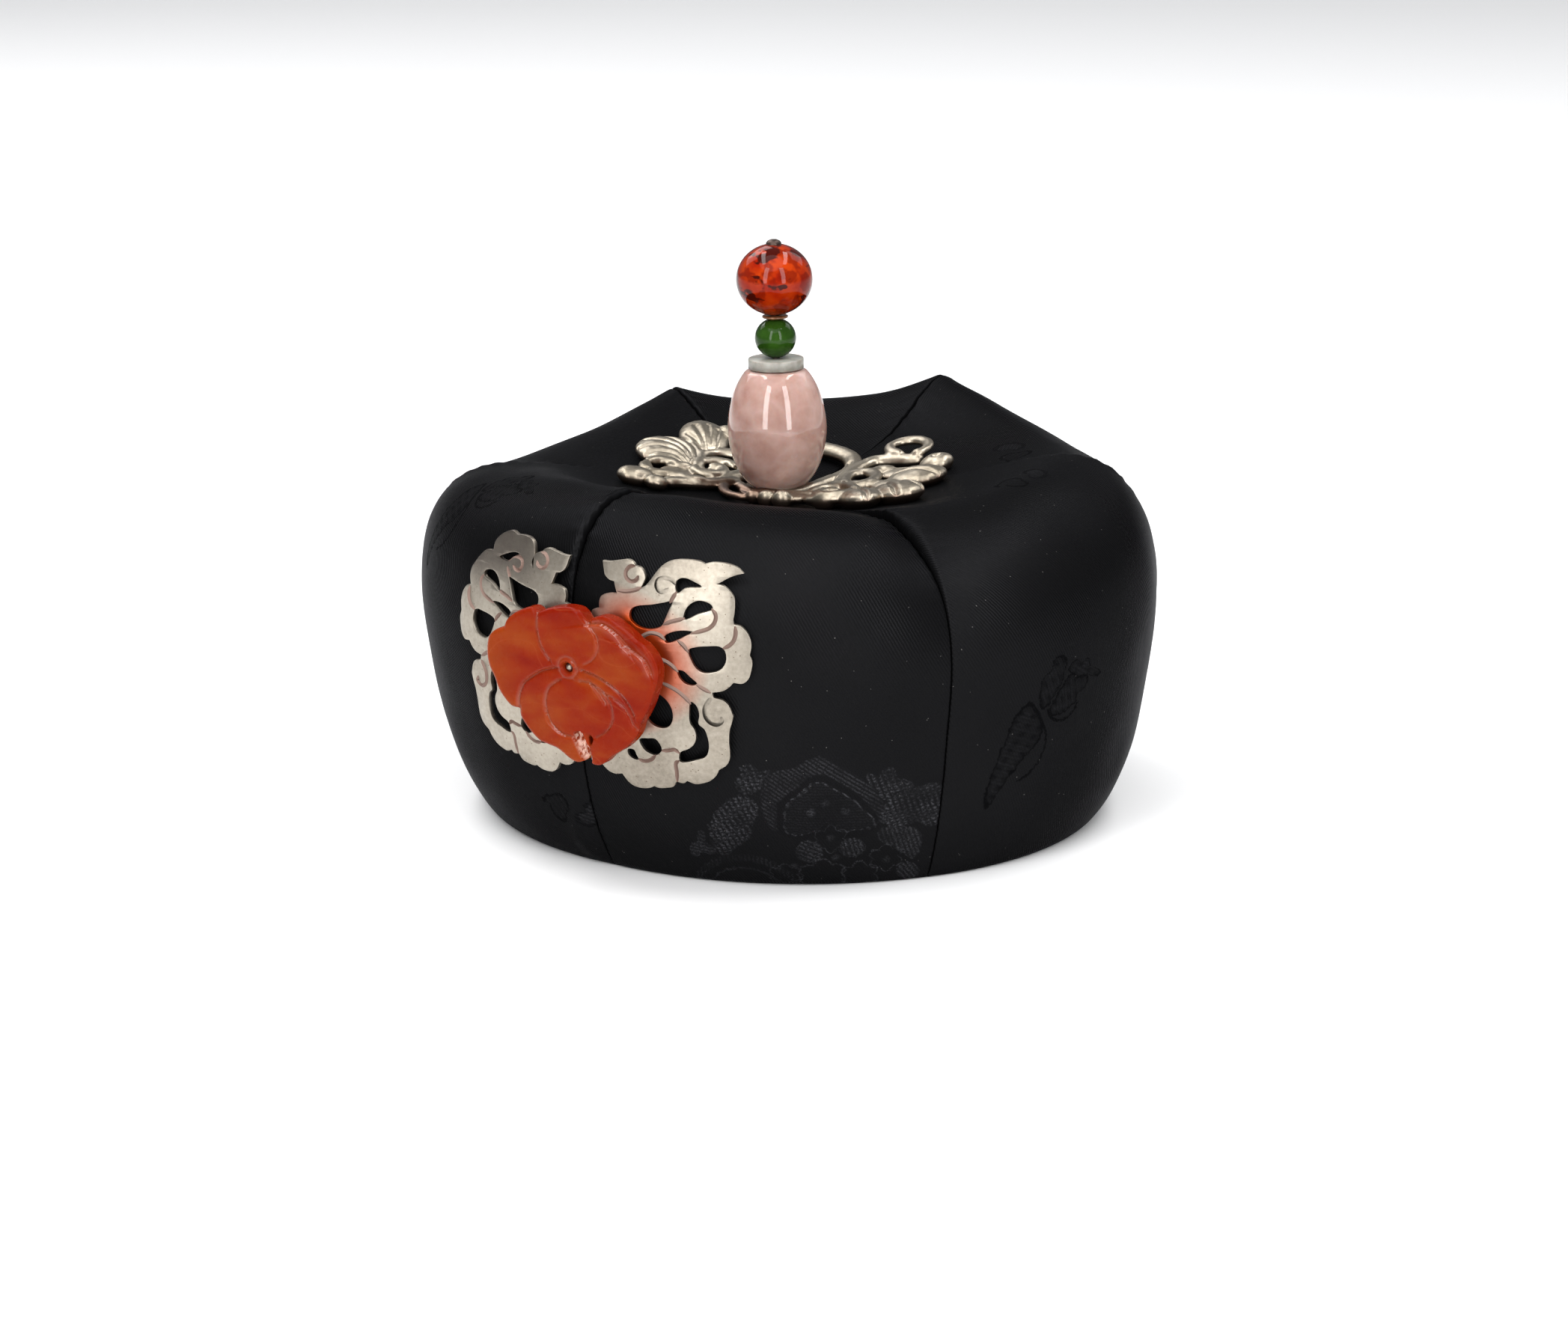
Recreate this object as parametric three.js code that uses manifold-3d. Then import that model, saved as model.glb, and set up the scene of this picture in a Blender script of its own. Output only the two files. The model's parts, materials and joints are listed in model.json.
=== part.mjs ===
// A padded bridal coronet: six black silk gores, silver ornaments and a column of stone beads.
// Millimetres, +Z up, the front seam towards -Y. Azimuths run from the front seam towards +X.
import * as THREE from 'three';
import { mergeVertices } from 'three/addons/utils/BufferGeometryUtils.js';
import Module from 'manifold-3d';

const wasm = await Module();
wasm.setup();
const { lerp, clamp, degToRad } = THREE.MathUtils;

// The crown's axis stands a little behind the middle of the whole object, because the flower stands proud.
const AXIS_BACK = 4.8;

// Gores
const GORE_NAMES = [
  'gore_front_right', 'gore_right', 'gore_back_right', 'gore_back_left', 'gore_left', 'gore_front_left',
];
const GORE_ANGLE = 360 / GORE_NAMES.length;
const GORE_ACROSS = 6;
const GORE_ALONG = 24;
const WALL = 4;
const SEAM_GAP = 0.3;
const BELLY_HEIGHT = 52;
const DISH_RADIUS = 40;
const DISH_FRONT = 74;
const DISH_BACK = 77;
const DISH_SHARE = 0.36;
const CENTRE_HEIGHT = 69.5;
const PIN_HOLE = 2;
const SWELL = 2.4;

// Outer profile at each seam and at the middle of each gore. hem, belly and crest are radii, peak is
// the height of the crest, and full is how square the shoulder is.
const PROFILES = [
  { at: 'front seam', hem: 66.5, belly: 80.6, crest: 60, peak: 81.8, full: 2.8 },
  { at: 'front right gore', hem: 67.8, belly: 83.2, crest: 55, peak: 79.8, full: 2.3 },
  { at: 'front right seam', hem: 69.5, belly: 79.6, crest: 50, peak: 75.8, full: 1.9 },
  { at: 'right gore', hem: 70.8, belly: 84.0, crest: 57, peak: 79.5, full: 2.2 },
  { at: 'back right seam', hem: 70.4, belly: 82.6, crest: 61, peak: 80.6, full: 2.1 },
  { at: 'back right gore', hem: 71.0, belly: 84.0, crest: 57, peak: 81.5, full: 1.75 },
  { at: 'back seam', hem: 70.0, belly: 80.5, crest: 61, peak: 88.0, full: 2.1 },
  { at: 'back left gore', hem: 71.0, belly: 83.5, crest: 56, peak: 80.3, full: 2.2 },
  { at: 'back left seam', hem: 70.0, belly: 80.8, crest: 64, peak: 83.4, full: 2.2 },
  { at: 'left gore', hem: 70.5, belly: 83.8, crest: 53, peak: 77.6, full: 1.7 },
  { at: 'front left seam', hem: 69.2, belly: 82.2, crest: 58, peak: 76.4, full: 2.9 },
  { at: 'front left gore', hem: 68.0, belly: 83.2, crest: 56, peak: 79.4, full: 2.5 },
];

// Share of the way from hem to belly that the flank has reached at each height.
const FLANK = [
  { share: 0.2, height: 4 },
  { share: 0.5, height: 13 },
  { share: 0.775, height: 28 },
  { share: 1, height: BELLY_HEIGHT },
];
// Shares of the rise from belly to crest at which the shoulder is sampled.
const SHOULDER = [0.42, 0.68, 0.86, 0.96, 1];

// Ornament of the front: sheet wings and a carved flower, turned together a little off the seam.
const FRONT_TURN = 3.6;
const SHEET = 1.0;
const SHEET_RADIUS = 83.8;
const SHEET_BELLY = 50;
const SHEET_BEND = 0.0055;
const SHEET_LOW = 22;
const SHEET_HIGH = 77;
const SHEET_HALF_ARC = 42;
const SHEET_ACROSS = 12;
const SHEET_UP = 6;
const FLOWER_HEIGHT = 50.2;
const FLOWER_BACK = 85.1;
const FLOWER_THICK = 4.8;
const FLOWER_EDGE = 1.1;
const FLOWER_HOLE = 1.2;
const FLOWER_PIN = 0.85;
const FLOWER_PIN_LONG = 6.9;
const FLOWER_PIN_HEAD = 2.4;
const FLOWER_PIN_HEAD_THICK = 1.1;
const FLOWER_PIN_IN = 1.5;
const FLOWER_PIN_SIDES = 12;

// Column of beads, which leans a little to one side of the crown's axis.
const FINIAL = { x: -2.2, y: -1.55 };
const FINIAL_LEAN = degToRad(1.07);
const FINIAL_LEAN_TO = degToRad(215);
const BEAD_GAP = 0.3;
const BEAD_HOLE = 1.0;
const BEAD_PIN = 0.7;
const BEAD_SIDES = 16;
const BEAD_LIP = 0.5;
const BALL_RINGS = 7;

const TOP_PLATE_LIFT = 0.35;
const TOP_PLATE_BOWL = 1.42;

const silk = new THREE.MeshStandardMaterial({ color: 0x1c1c1e, roughness: 0.55, metalness: 0 });
const sheetSilver = new THREE.MeshStandardMaterial({ color: 0xaaa697, roughness: 0.35, metalness: 1 });
const castSilver = new THREE.MeshStandardMaterial({ color: 0x9a9282, roughness: 0.3, metalness: 1 });
const carnelian = new THREE.MeshStandardMaterial({ color: 0xa63a1c, roughness: 0.25, metalness: 0 });
const roseQuartz = new THREE.MeshStandardMaterial({ color: 0xb89590, roughness: 0.25, metalness: 0 });
const whiteShell = new THREE.MeshStandardMaterial({ color: 0xbdbbb4, roughness: 0.4, metalness: 0 });
const jade = new THREE.MeshStandardMaterial({ color: 0x2d4b19, roughness: 0.25, metalness: 0 });
const amber = new THREE.MeshStandardMaterial({ color: 0x9c3c14, roughness: 0.15, metalness: 0 });
const darkAmber = new THREE.MeshStandardMaterial({ color: 0x6e4a26, roughness: 0.35, metalness: 0 });
const darkMetal = new THREE.MeshStandardMaterial({ color: 0x2a2622, roughness: 0.45, metalness: 1 });

function mesh(name, geometry, material) {
  const made = new THREE.Mesh(geometry, material);
  made.name = name;
  return made;
}

// A closed geometry as a solid for cutting and joining.
function toSolid(geometry) {
  const bare = geometry.index ? geometry.toNonIndexed() : geometry.clone();
  bare.deleteAttribute('normal');
  bare.deleteAttribute('uv');
  const merged = mergeVertices(bare, 1e-4);
  return new wasm.Manifold(new wasm.Mesh({
    numProp: 3,
    vertProperties: merged.attributes.position.array,
    triVerts: new Uint32Array(merged.index.array),
  }));
}

// The cut or joined solid back as a geometry.
function fromSolid(solid) {
  const { vertProperties, triVerts } = solid.getMesh();
  const geometry = new THREE.BufferGeometry();
  geometry.setAttribute('position', new THREE.BufferAttribute(vertProperties, 3));
  geometry.setIndex(new THREE.BufferAttribute(triVerts, 1));
  geometry.computeVertexNormals();
  return geometry;
}

// Moves each vertex of a geometry by a function of its place.
function bend(geometry, place) {
  const position = geometry.attributes.position;
  const point = new THREE.Vector3();
  for (let i = 0; i < position.count; i += 1) {
    place(point.fromBufferAttribute(position, i));
    position.setXYZ(i, point.x, point.y, point.z);
  }
  geometry.computeVertexNormals();
  return geometry;
}

// Share from 0 to 1 of a unit block's coordinate, snapped to its cells so that its faces stay joined.
function cellShare(value, cells) {
  return Math.round((value + 0.5) * cells) / cells;
}

// Height of the dish at its rim radius: it slopes up from the front to the back.
function dishHeight(azimuth) {
  return lerp(DISH_FRONT, DISH_BACK, (1 - Math.cos(azimuth)) / 2);
}

// Profile of gore number `gore` at share t of its width. The gore swells between its seams.
function profileAt(gore, t) {
  const left = PROFILES[2 * gore];
  const middle = PROFILES[2 * gore + 1];
  const right = PROFILES[(2 * gore + 2) % PROFILES.length];
  const swell = 1 - Math.abs(2 * t - 1) ** SWELL;
  const profile = { dish: dishHeight(degToRad((gore + t) * GORE_ANGLE)) };
  for (const key of ['hem', 'belly', 'crest', 'peak', 'full']) {
    const straight = lerp(left[key], right[key], t);
    profile[key] = straight + (middle[key] - (left[key] + right[key]) / 2) * swell;
  }
  return profile;
}

// Outer line of the gore in its radial plane, from the hem over the crest to the centre.
function profileCurve({ hem, belly, crest, peak, full, dish }) {
  const points = [
    [hem, 0],
    ...FLANK.map(({ share, height }) => [lerp(hem, belly, share), height]),
    ...SHOULDER.map((rise) => [
      lerp(crest, belly, (1 - rise ** full) ** (1 / full)),
      lerp(BELLY_HEIGHT, peak, rise),
    ]),
    [DISH_RADIUS, dish],
    [DISH_RADIUS / 2, lerp(CENTRE_HEIGHT, dish, DISH_SHARE)],
    [PIN_HOLE, CENTRE_HEIGHT],
  ].map(([radius, height]) => new THREE.Vector3(radius, height, 0));
  return new THREE.CatmullRomCurve3(points, false, 'centripetal');
}

// Radius and height on the outer or the inner face of the wall, at a share of the profile.
function wallPoint(curve, share, outside) {
  const outer = curve.getPoint(share);
  if (outside) {
    return outer;
  }
  if (share === 0) {
    return outer.setX(outer.x - WALL);
  }
  if (share === 1) {
    return outer.setY(outer.y - WALL);
  }
  const along = curve.getTangent(share);
  return outer.add(new THREE.Vector3(-along.y, along.x, 0).multiplyScalar(WALL));
}

// One gore: a block of cells wrapped round the crown, its sides half a seam gap off the seam planes.
function goreGeometry(gore) {
  const curves = [];
  for (let i = 0; i <= GORE_ACROSS; i += 1) {
    curves.push(profileCurve(profileAt(gore, i / GORE_ACROSS)));
  }
  const middle = degToRad((gore + 0.5) * GORE_ANGLE);
  const outward = SEAM_GAP / 2 / Math.sin(degToRad(GORE_ANGLE / 2));
  return bend(new THREE.BoxGeometry(1, 1, 1, GORE_ACROSS, GORE_ALONG, 1), (point) => {
    const t = cellShare(point.x, GORE_ACROSS);
    const curve = curves[Math.round(t * GORE_ACROSS)];
    const wall = wallPoint(curve, cellShare(point.y, GORE_ALONG), point.z > 0);
    const azimuth = degToRad((gore + t) * GORE_ANGLE);
    const towardsPin = Math.max(0, 1 - wall.x / DISH_RADIUS);
    point.set(
      wall.x * Math.sin(azimuth) + outward * Math.sin(middle) + FINIAL.x * towardsPin,
      -wall.x * Math.cos(azimuth) - outward * Math.cos(middle) + FINIAL.y * towardsPin,
      wall.y,
    );
  });
}

const STROKE_CUTS = 2;

// A closed line through strokes of [x, z] points: each stroke is one smooth curve, with a corner
// where it meets the next.
function outline(strokes) {
  const shape = new THREE.Shape();
  const [startX, startZ] = strokes[0][0];
  shape.moveTo(startX, startZ);
  for (const stroke of strokes) {
    const curve = new THREE.SplineCurve(stroke.map(([x, z]) => new THREE.Vector2(x, z)));
    for (const point of curve.getPoints(STROKE_CUTS * (stroke.length - 1)).slice(1)) {
      shape.lineTo(point.x, point.y);
    }
  }
  return shape;
}

// A smooth closed opening through a few points.
function opening(points) {
  return outline([[...points, points[0]]]);
}

const mirrorPoint = ([x, z]) => [-x, z];

// Right wing of the front plate as strokes from the middle, over the top, to the middle below.
// x is measured along the bent sheet from its middle line, z is the height above the hem.
const WING = [
  [[0, 57.5], [1.8, 60.4], [3.8, 62.5]],
  [[3.8, 62.5], [4.3, 64.4], [6.1, 65.5]],
  [[6.1, 65.5], [8.0, 66.1]],
  [[8.0, 66.1], [7.2, 68.3], [5.5, 69.3], [5.0, 72.5]],
  [[5.0, 72.5], [8.5, 73.0], [11.7, 73.3]],
  [[11.7, 73.3], [14.0, 72.0], [15.2, 70.2], [13.8, 67.5]],
  [[13.8, 67.5], [16.6, 69.8], [18.4, 72.4], [22.4, 74.2], [25.4, 74.2], [28.2, 73.4]],
  [[28.2, 73.4], [32.2, 74.1], [36.2, 71.9]],
  [[36.2, 71.9], [33.0, 71.6], [30.0, 69.2]],
  [[30.0, 69.2], [32.6, 68.7], [34.2, 66.0], [33.8, 61.5]],
  [[33.8, 61.5], [36.4, 60.0], [37.2, 54.7]],
  [[37.2, 54.7], [37.3, 51.2], [33.9, 48.2]],
  [[33.9, 48.2], [31.8, 46.8], [29.7, 46.2]],
  [[29.7, 46.2], [30.0, 45.5], [33.0, 43.4], [33.6, 40.6], [33.0, 34.0], [30.4, 29.7]],
  [[30.4, 29.7], [29.0, 27.1], [26.0, 26.3], [23.5, 26.6]],
  [[23.5, 26.6], [22.2, 25.9], [20.9, 26.2]],
  [[20.9, 26.2], [18.6, 24.8], [15.7, 24.5]],
  [[15.7, 24.5], [11.6, 24.5], [9.4, 26.9]],
  [[9.4, 26.9], [6.4, 26.7], [4.4, 28.4]],
  [[4.4, 28.4], [3.4, 30.8], [0, 32.5]],
];

// Openings pierced through the right wing.
const WING_OPENINGS = [
  [[21.9, 69.6], [24.0, 70.9], [27.3, 69.1], [24.2, 68.5]],
  [[11.3, 61.2], [13.2, 63.3], [20.1, 64.9], [18.8, 60.9], [15.2, 59.5]],
  [[23.3, 62.2], [24.4, 64.5], [26.6, 65.4], [29.0, 64.2], [26.1, 63.2]],
  [[19.0, 57.0], [21.8, 58.6], [25.0, 58.6], [21.8, 57.0]],
  [[24.4, 54.8], [27.8, 55.7], [31.8, 55.0], [31.4, 52.2], [28.4, 51.1], [25.4, 52.5]],
  [[21.9, 51.2], [24.7, 49.4], [26.2, 47.8], [23.2, 49.4]],
  [[14.4, 42.4], [17.4, 45.0], [20.2, 41.4], [18.4, 38.3], [15.2, 39.5]],
  [[25.0, 43.5], [26.5, 40.9], [28.5, 35.0], [25.3, 31.6], [22.7, 32.0], [25.3, 36.2]],
  [[13.4, 35.0], [15.4, 34.6], [17.6, 34.0], [15.6, 32.4]],
  [[10.2, 31.9], [12.6, 31.5], [16.4, 31.1], [13.4, 30.2]],
];

// Carved flower seen from the front, measured from its pin hole.
const FLOWER = [
  [[5.0, 11.2], [8.2, 12.1], [12.6, 10.3], [15.0, 7.2]],
  [[15.0, 7.2], [18.6, 7.5], [21.6, 4.4]],
  [[21.6, 4.4], [22.4, -0.6], [20.4, -5.4], [17.0, -9.4]],
  [[17.0, -9.4], [15.4, -13.6], [10.6, -17.2], [6.6, -19.8], [4.4, -18.6]],
  [[4.4, -18.6], [5.5, -15.8], [3.9, -14.0], [1.3, -14.6]],
  [[1.3, -14.6], [1.7, -16.8], [3.1, -18.7]],
  [[3.1, -18.7], [0.4, -19.9], [-5.1, -17.0], [-10.6, -14.9], [-14.0, -10.9]],
  [[-14.0, -10.9], [-18.6, -7.8], [-21.4, -1.4], [-20.6, 4.2], [-17.6, 6.2]],
  [[-17.6, 6.2], [-13.6, 10.2], [-7.7, 11.4]],
  [[-7.7, 11.4], [-1.2, 12.8], [5.0, 11.2]],
];

// Lines carved into the face of the flower, measured as the outline is.
const FLOWER_LINES = [
  [[-4.6, 1.6], [-7.4, 4.6], [-8.2, 10.6]],
  [[5.4, 2.2], [7.0, 4.6], [5.6, 9.6]],
  [[-4.4, -0.4], [-10.0, -3.0], [-13.2, -9.8]],
  [[4.6, -2.3], [10.0, -6.8], [6.4, -13.4]],
  [[-3.4, -3.0], [-6.7, -8.0], [-0.6, -13.9]],
  [[8.0, -1.2], [12.0, -3.2], [15.4, -8.0]],
];
const LINE_DEPTH = 0.5;

// The sheet as a bent slab, to be cut by the outline of the wings.
function bentSlab() {
  return bend(new THREE.BoxGeometry(1, 1, 1, SHEET_ACROSS, SHEET_UP, 1), (point) => {
    const arc = lerp(-SHEET_HALF_ARC, SHEET_HALF_ARC, cellShare(point.x, SHEET_ACROSS));
    const angle = arc / SHEET_RADIUS;
    const height = lerp(SHEET_LOW, SHEET_HIGH, cellShare(point.y, SHEET_UP));
    const inside = SHEET_RADIUS - SHEET_BEND * (height - SHEET_BELLY) ** 2;
    const radius = inside + (point.z > 0 ? SHEET : 0);
    point.set(radius * Math.sin(angle), -radius * Math.cos(angle), height);
  });
}

// Stands an outline drawn in x and z upright, facing -Y, from y = -near to y = -far.
function standUp(shape, near, far, settings = {}) {
  const geometry = new THREE.ExtrudeGeometry(shape, {
    depth: far - near, bevelEnabled: false, curveSegments: 6, ...settings,
  });
  return geometry.rotateX(Math.PI / 2).translate(0, -near, 0);
}

// A point of the sheet as seen straight from the front.
const flatten = ([x, z]) => [SHEET_RADIUS * Math.sin(x / SHEET_RADIUS), z];

function frontPlate() {
  const right = WING.map((stroke) => stroke.map(flatten));
  const left = right.map((stroke) => stroke.map(mirrorPoint));
  const wings = outline([...left, ...right.map((stroke) => stroke.reverse()).reverse()]);
  for (const points of WING_OPENINGS) {
    const flat = points.map(flatten);
    wings.holes.push(opening(flat), opening(flat.map(mirrorPoint)));
  }
  const pinHole = new THREE.Path();
  pinHole.absarc(0, FLOWER_HEIGHT, FLOWER_HOLE, 0, 2 * Math.PI);
  wings.holes.push(pinHole);
  const cutter = standUp(wings, SHEET_RADIUS / 2, SHEET_RADIUS + 2 * SHEET);
  return fromSolid(toSolid(bentSlab()).intersect(toSolid(cutter)));
}

// A small square bar along a line on the face of the flower, to carve it.
function carvingBar(points, face) {
  const line = new THREE.CatmullRomCurve3(points.map(([x, z]) => new THREE.Vector3(x, -face, z)));
  const section = new THREE.Shape();
  section.moveTo(LINE_DEPTH, 0);
  section.lineTo(0, LINE_DEPTH);
  section.lineTo(-LINE_DEPTH, 0);
  section.lineTo(0, -LINE_DEPTH);
  section.closePath();
  return new THREE.ExtrudeGeometry(section, {
    steps: 2 * points.length, extrudePath: line, bevelEnabled: false,
  });
}

function carvedFlower() {
  const petals = outline(FLOWER);
  const pinHole = new THREE.Path();
  pinHole.absarc(0, 0, FLOWER_HOLE + FLOWER_EDGE * 0.5, 0, 2 * Math.PI);
  petals.holes.push(pinHole);
  let flower = toSolid(standUp(petals, FLOWER_EDGE, FLOWER_THICK - FLOWER_EDGE, {
    bevelEnabled: true,
    bevelThickness: FLOWER_EDGE,
    bevelSize: FLOWER_EDGE * 0.5,
    bevelOffset: -FLOWER_EDGE * 0.5,
    bevelSegments: 1,
  }));
  for (const points of FLOWER_LINES) {
    flower = flower.subtract(toSolid(carvingBar(points, FLOWER_THICK)));
  }
  return fromSolid(flower);
}

// Turns a profile of [radius, height] points into a round body about the vertical.
function turned(profile, sides = BEAD_SIDES) {
  const points = profile.map(([radius, height]) => new THREE.Vector2(radius, height));
  return new THREE.LatheGeometry(points, sides).rotateX(Math.PI / 2);
}

// A drilled bead: its outer line from below to above, closed along the drill hole.
function drilled(outer) {
  const low = outer[0][1];
  const high = outer[outer.length - 1][1];
  return turned([[BEAD_HOLE, low], ...outer, [BEAD_HOLE, high], [BEAD_HOLE, low]]);
}

// Outer line of a ball of the given radius and half height, cut off by its drill hole.
function ballLine(radius, half, middle) {
  const line = [];
  const start = Math.asin((BEAD_HOLE + BEAD_LIP) / radius);
  for (let i = 0; i <= BALL_RINGS; i += 1) {
    const angle = lerp(start, Math.PI - start, i / BALL_RINGS);
    line.push([radius * Math.sin(angle), middle - half * Math.cos(angle)]);
  }
  return line;
}

// Heights of the beads above the hem, from the dish upwards.
const VASE_LOW = 71.9;
const VASE_HIGH = 98.1;
const COLLAR_HIGH = 101.2;
const JADE_HIGH = 110.0;
const WASHER_HIGH = 111.0;
const AMBER_HIGH = 127.0;
const STOP_HIGH = 128.3;
const VASE_LINE = [
  { share: 0, radius: 7.4 },
  { share: 0.05, radius: 8.9 },
  { share: 0.22, radius: 10.4 },
  { share: 0.5, radius: 11.1 },
  { share: 0.78, radius: 10.5 },
  { share: 0.95, radius: 8.7 },
  { share: 1, radius: 7.0 },
];
const COLLAR_RADIUS = 6.3;
const COLLAR_ROUND = 0.8;
const JADE_RADIUS = 4.6;
const WASHER_RADIUS = 2.9;
const WASHER_ROUND = 0.2;
const AMBER_RADIUS = 8.55;
const STOP_RADIUS = 1.75;
const PIN_FOOT_RADIUS = 3.2;
const PIN_FOOT_THICK = 1;

function discLine(radius, low, high, round) {
  return [[radius - round, low], [radius, low + round], [radius, high - round], [radius - round, high]];
}

function bead(low, high, line) {
  return drilled(line(low + BEAD_GAP, high));
}

const ball = (radius) => (low, high) => ballLine(radius, (high - low) / 2, (high + low) / 2);

// The rod through the beads, with its foot under the crown and a low dome on top.
function beadPin() {
  const footHigh = CENTRE_HEIGHT - WALL - BEAD_GAP;
  const domeLow = AMBER_HIGH + BEAD_GAP;
  return turned([
    [0, footHigh - PIN_FOOT_THICK],
    [PIN_FOOT_RADIUS, footHigh - PIN_FOOT_THICK],
    [PIN_FOOT_RADIUS, footHigh],
    [BEAD_PIN, footHigh],
    [BEAD_PIN, domeLow],
    [STOP_RADIUS, domeLow],
    [STOP_RADIUS * 0.8, lerp(domeLow, STOP_HIGH, 0.6)],
    [0, STOP_HIGH],
  ]);
}

// Strands of the cast top plate in plan, measured from the finial's axis: side is both, right or
// left, wide is the strand's width, and line holds its [x, y] points, +y towards the back.
const STRANDS = [
  { side: 'both', wide: 4.8, line: [[0, 17], [5, 17.2], [10, 14], [12.6, 8.5], [14.2, 2.5], [13, -4], [7, -7]] },
  { side: 'both', wide: 4.2, line: [[14.5, 0], [14.6, 8], [13.4, 14], [15.2, 20], [20, 23.4], [24, 22]] },
  { side: 'both', wide: 4.0, line: [[7, -6], [13, -5], [19, -2.5], [24, -4]] },
  { side: 'both', wide: 4.4, line: [[16, 11], [19.5, 7], [20, 1], [18, -5]] },
  { side: 'right', wide: 4.6, line: [[6, -10], [11, -12], [17, -12], [20, -9]] },
  { side: 'right', wide: 5.2, line: [[4, -19.5], [8.5, -18.5], [14, -16.5], [19, -15.5]] },
  { side: 'left', wide: 4.2, line: [[5, -9], [9, -13], [14, -15.3], [19, -16], [21, -19]] },
  { side: 'left', wide: 4.2, line: [[12, -13.5], [18, -13], [24, -12.5], [29.5, -8], [31, -4]] },
  { side: 'left', wide: 3.6, line: [[20, -7], [15, -10.5], [11, -9], [9, -4]] },
  { side: 'middle', wide: 4.8, line: [[-4, -7], [-6.5, -13], [-3.5, -18.5], [1.5, -20.4], [6, -19.5]] },
];
// Rings, as centre, radii of the strand's middle line and width.
const RINGS = [
  { side: 'both', x: 15, y: 29, wideX: 5.2, wideY: 4.0, wide: 3.6 },
  { side: 'left', x: 28, y: -17.4, wideX: 3.8, wideY: 3.6, wide: 4.0 },
  { side: 'right', x: 22.4, y: -12.2, wideX: 3.6, wideY: 3.2, wide: 3.8 },
];
// Leaves and knobs, as middle, length along the turn, width and height.
const LEAVES = [
  { side: 'both', x: 25.6, y: 13.6, long: 20, wide: 9.5, turn: 36, high: 3.4 },
  { side: 'both', x: 29.5, y: 2.0, long: 20, wide: 13, turn: 2, high: 3.8 },
  { side: 'both', x: 24.5, y: 25.4, long: 9, wide: 8, turn: 60, high: 3.6 },
  { side: 'right', x: 26.5, y: -6.0, long: 13, wide: 8, turn: -15, high: 3.2 },
  { side: 'left', x: 20.6, y: -20.0, long: 6, wide: 5, turn: 0, high: 3.0 },
];
const STRAND_HIGH = 2.8;
const STRAND_ROD = 6;
const STRAND_SIDES = 6;
const LEAF_SIDES = 8;
const LEAF_RINGS = 6;
const BOSS_RADIUS = 9;
const BOSS_SIDES = 20;
const CUT_HIGH = 10;
const BOSS_HIGH = 1.1;
const VASE_ROOM = 9.6;

// A strand of oval section with round ends, lying on z = 0.
function strand(points, wide) {
  const line = new THREE.CatmullRomCurve3(points.map(([x, y]) => new THREE.Vector3(x, y, 0)));
  const rod = new THREE.CapsuleGeometry(1, STRAND_ROD, 2, STRAND_SIDES, points.length);
  return bend(rod, (point) => {
    const share = clamp(point.y / STRAND_ROD + 0.5, 0, 1);
    const past = point.y - (share - 0.5) * STRAND_ROD;
    const place = line.getPoint(share);
    const along = line.getTangent(share);
    const lateral = point.x * (wide / 2);
    const forward = past * (wide / 2);
    point.set(
      place.x + forward * along.x + lateral * along.y,
      place.y + forward * along.y - lateral * along.x,
      (point.z + 1) * (STRAND_HIGH / 2),
    );
  });
}

function ring({ x, y, wideX, wideY, wide }) {
  return bend(new THREE.TorusGeometry(2, 1, STRAND_SIDES, 10), (point) => {
    const around = Math.atan2(point.y, point.x);
    const across = (Math.hypot(point.x, point.y) - 2) * (wide / 2);
    point.set(
      x + (wideX + across) * Math.cos(around),
      y + (wideY + across) * Math.sin(around),
      (point.z + 1) * (STRAND_HIGH / 2),
    );
  });
}

function leaf({ x, y, long, wide, turn, high }) {
  return new THREE.SphereGeometry(1, LEAF_SIDES, LEAF_RINGS).rotateX(Math.PI / 2)
    .scale(long / 2, wide / 2, high / 2).rotateZ(degToRad(turn)).translate(x, y, high / 2);
}

const mirrored = ([x, y]) => [-x, y];

// Both sides, one side or the middle: the same maker called with plain or mirrored input.
function onSides(side, make) {
  if (side === 'both') {
    return [...make(false), ...make(true)];
  }
  return make(side === 'left');
}

function topPlate() {
  const pieces = [];
  for (const { side, wide, line } of STRANDS) {
    pieces.push(...onSides(side, (flip) => [strand(flip ? line.map(mirrored) : line, wide)]));
  }
  for (const row of RINGS) {
    pieces.push(...onSides(row.side, (flip) => [ring(flip ? { ...row, x: -row.x } : row)]));
  }
  for (const row of LEAVES) {
    pieces.push(...onSides(row.side, (flip) => (
      [leaf(flip ? { ...row, x: -row.x, turn: -row.turn } : row)]
    )));
  }
  const boss = new THREE.CylinderGeometry(BOSS_RADIUS, BOSS_RADIUS, BOSS_HIGH, BOSS_SIDES);
  let plate = toSolid(boss.rotateX(Math.PI / 2).translate(0, 0, BOSS_HIGH / 2));
  for (const piece of pieces) {
    plate = plate.add(toSolid(piece));
  }
  const clear = new THREE.CylinderGeometry(VASE_ROOM, VASE_ROOM, CUT_HIGH, BOSS_SIDES);
  clear.rotateX(Math.PI / 2).translate(0, 0, BOSS_HIGH + CUT_HIGH / 2);
  plate = plate.subtract(toSolid(clear));
  const hole = new THREE.CylinderGeometry(BEAD_HOLE, BEAD_HOLE, CUT_HIGH, BEAD_SIDES);
  plate = plate.subtract(toSolid(hole.rotateX(Math.PI / 2)));
  return bend(fromSolid(plate), (point) => {
    const share = Math.hypot(point.x, point.y) / DISH_RADIUS;
    point.z += bowl(point.x + FINIAL.x * share, point.y + FINIAL.y * share);
    point.x += FINIAL.x;
    point.y += FINIAL.y;
  });
}

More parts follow.
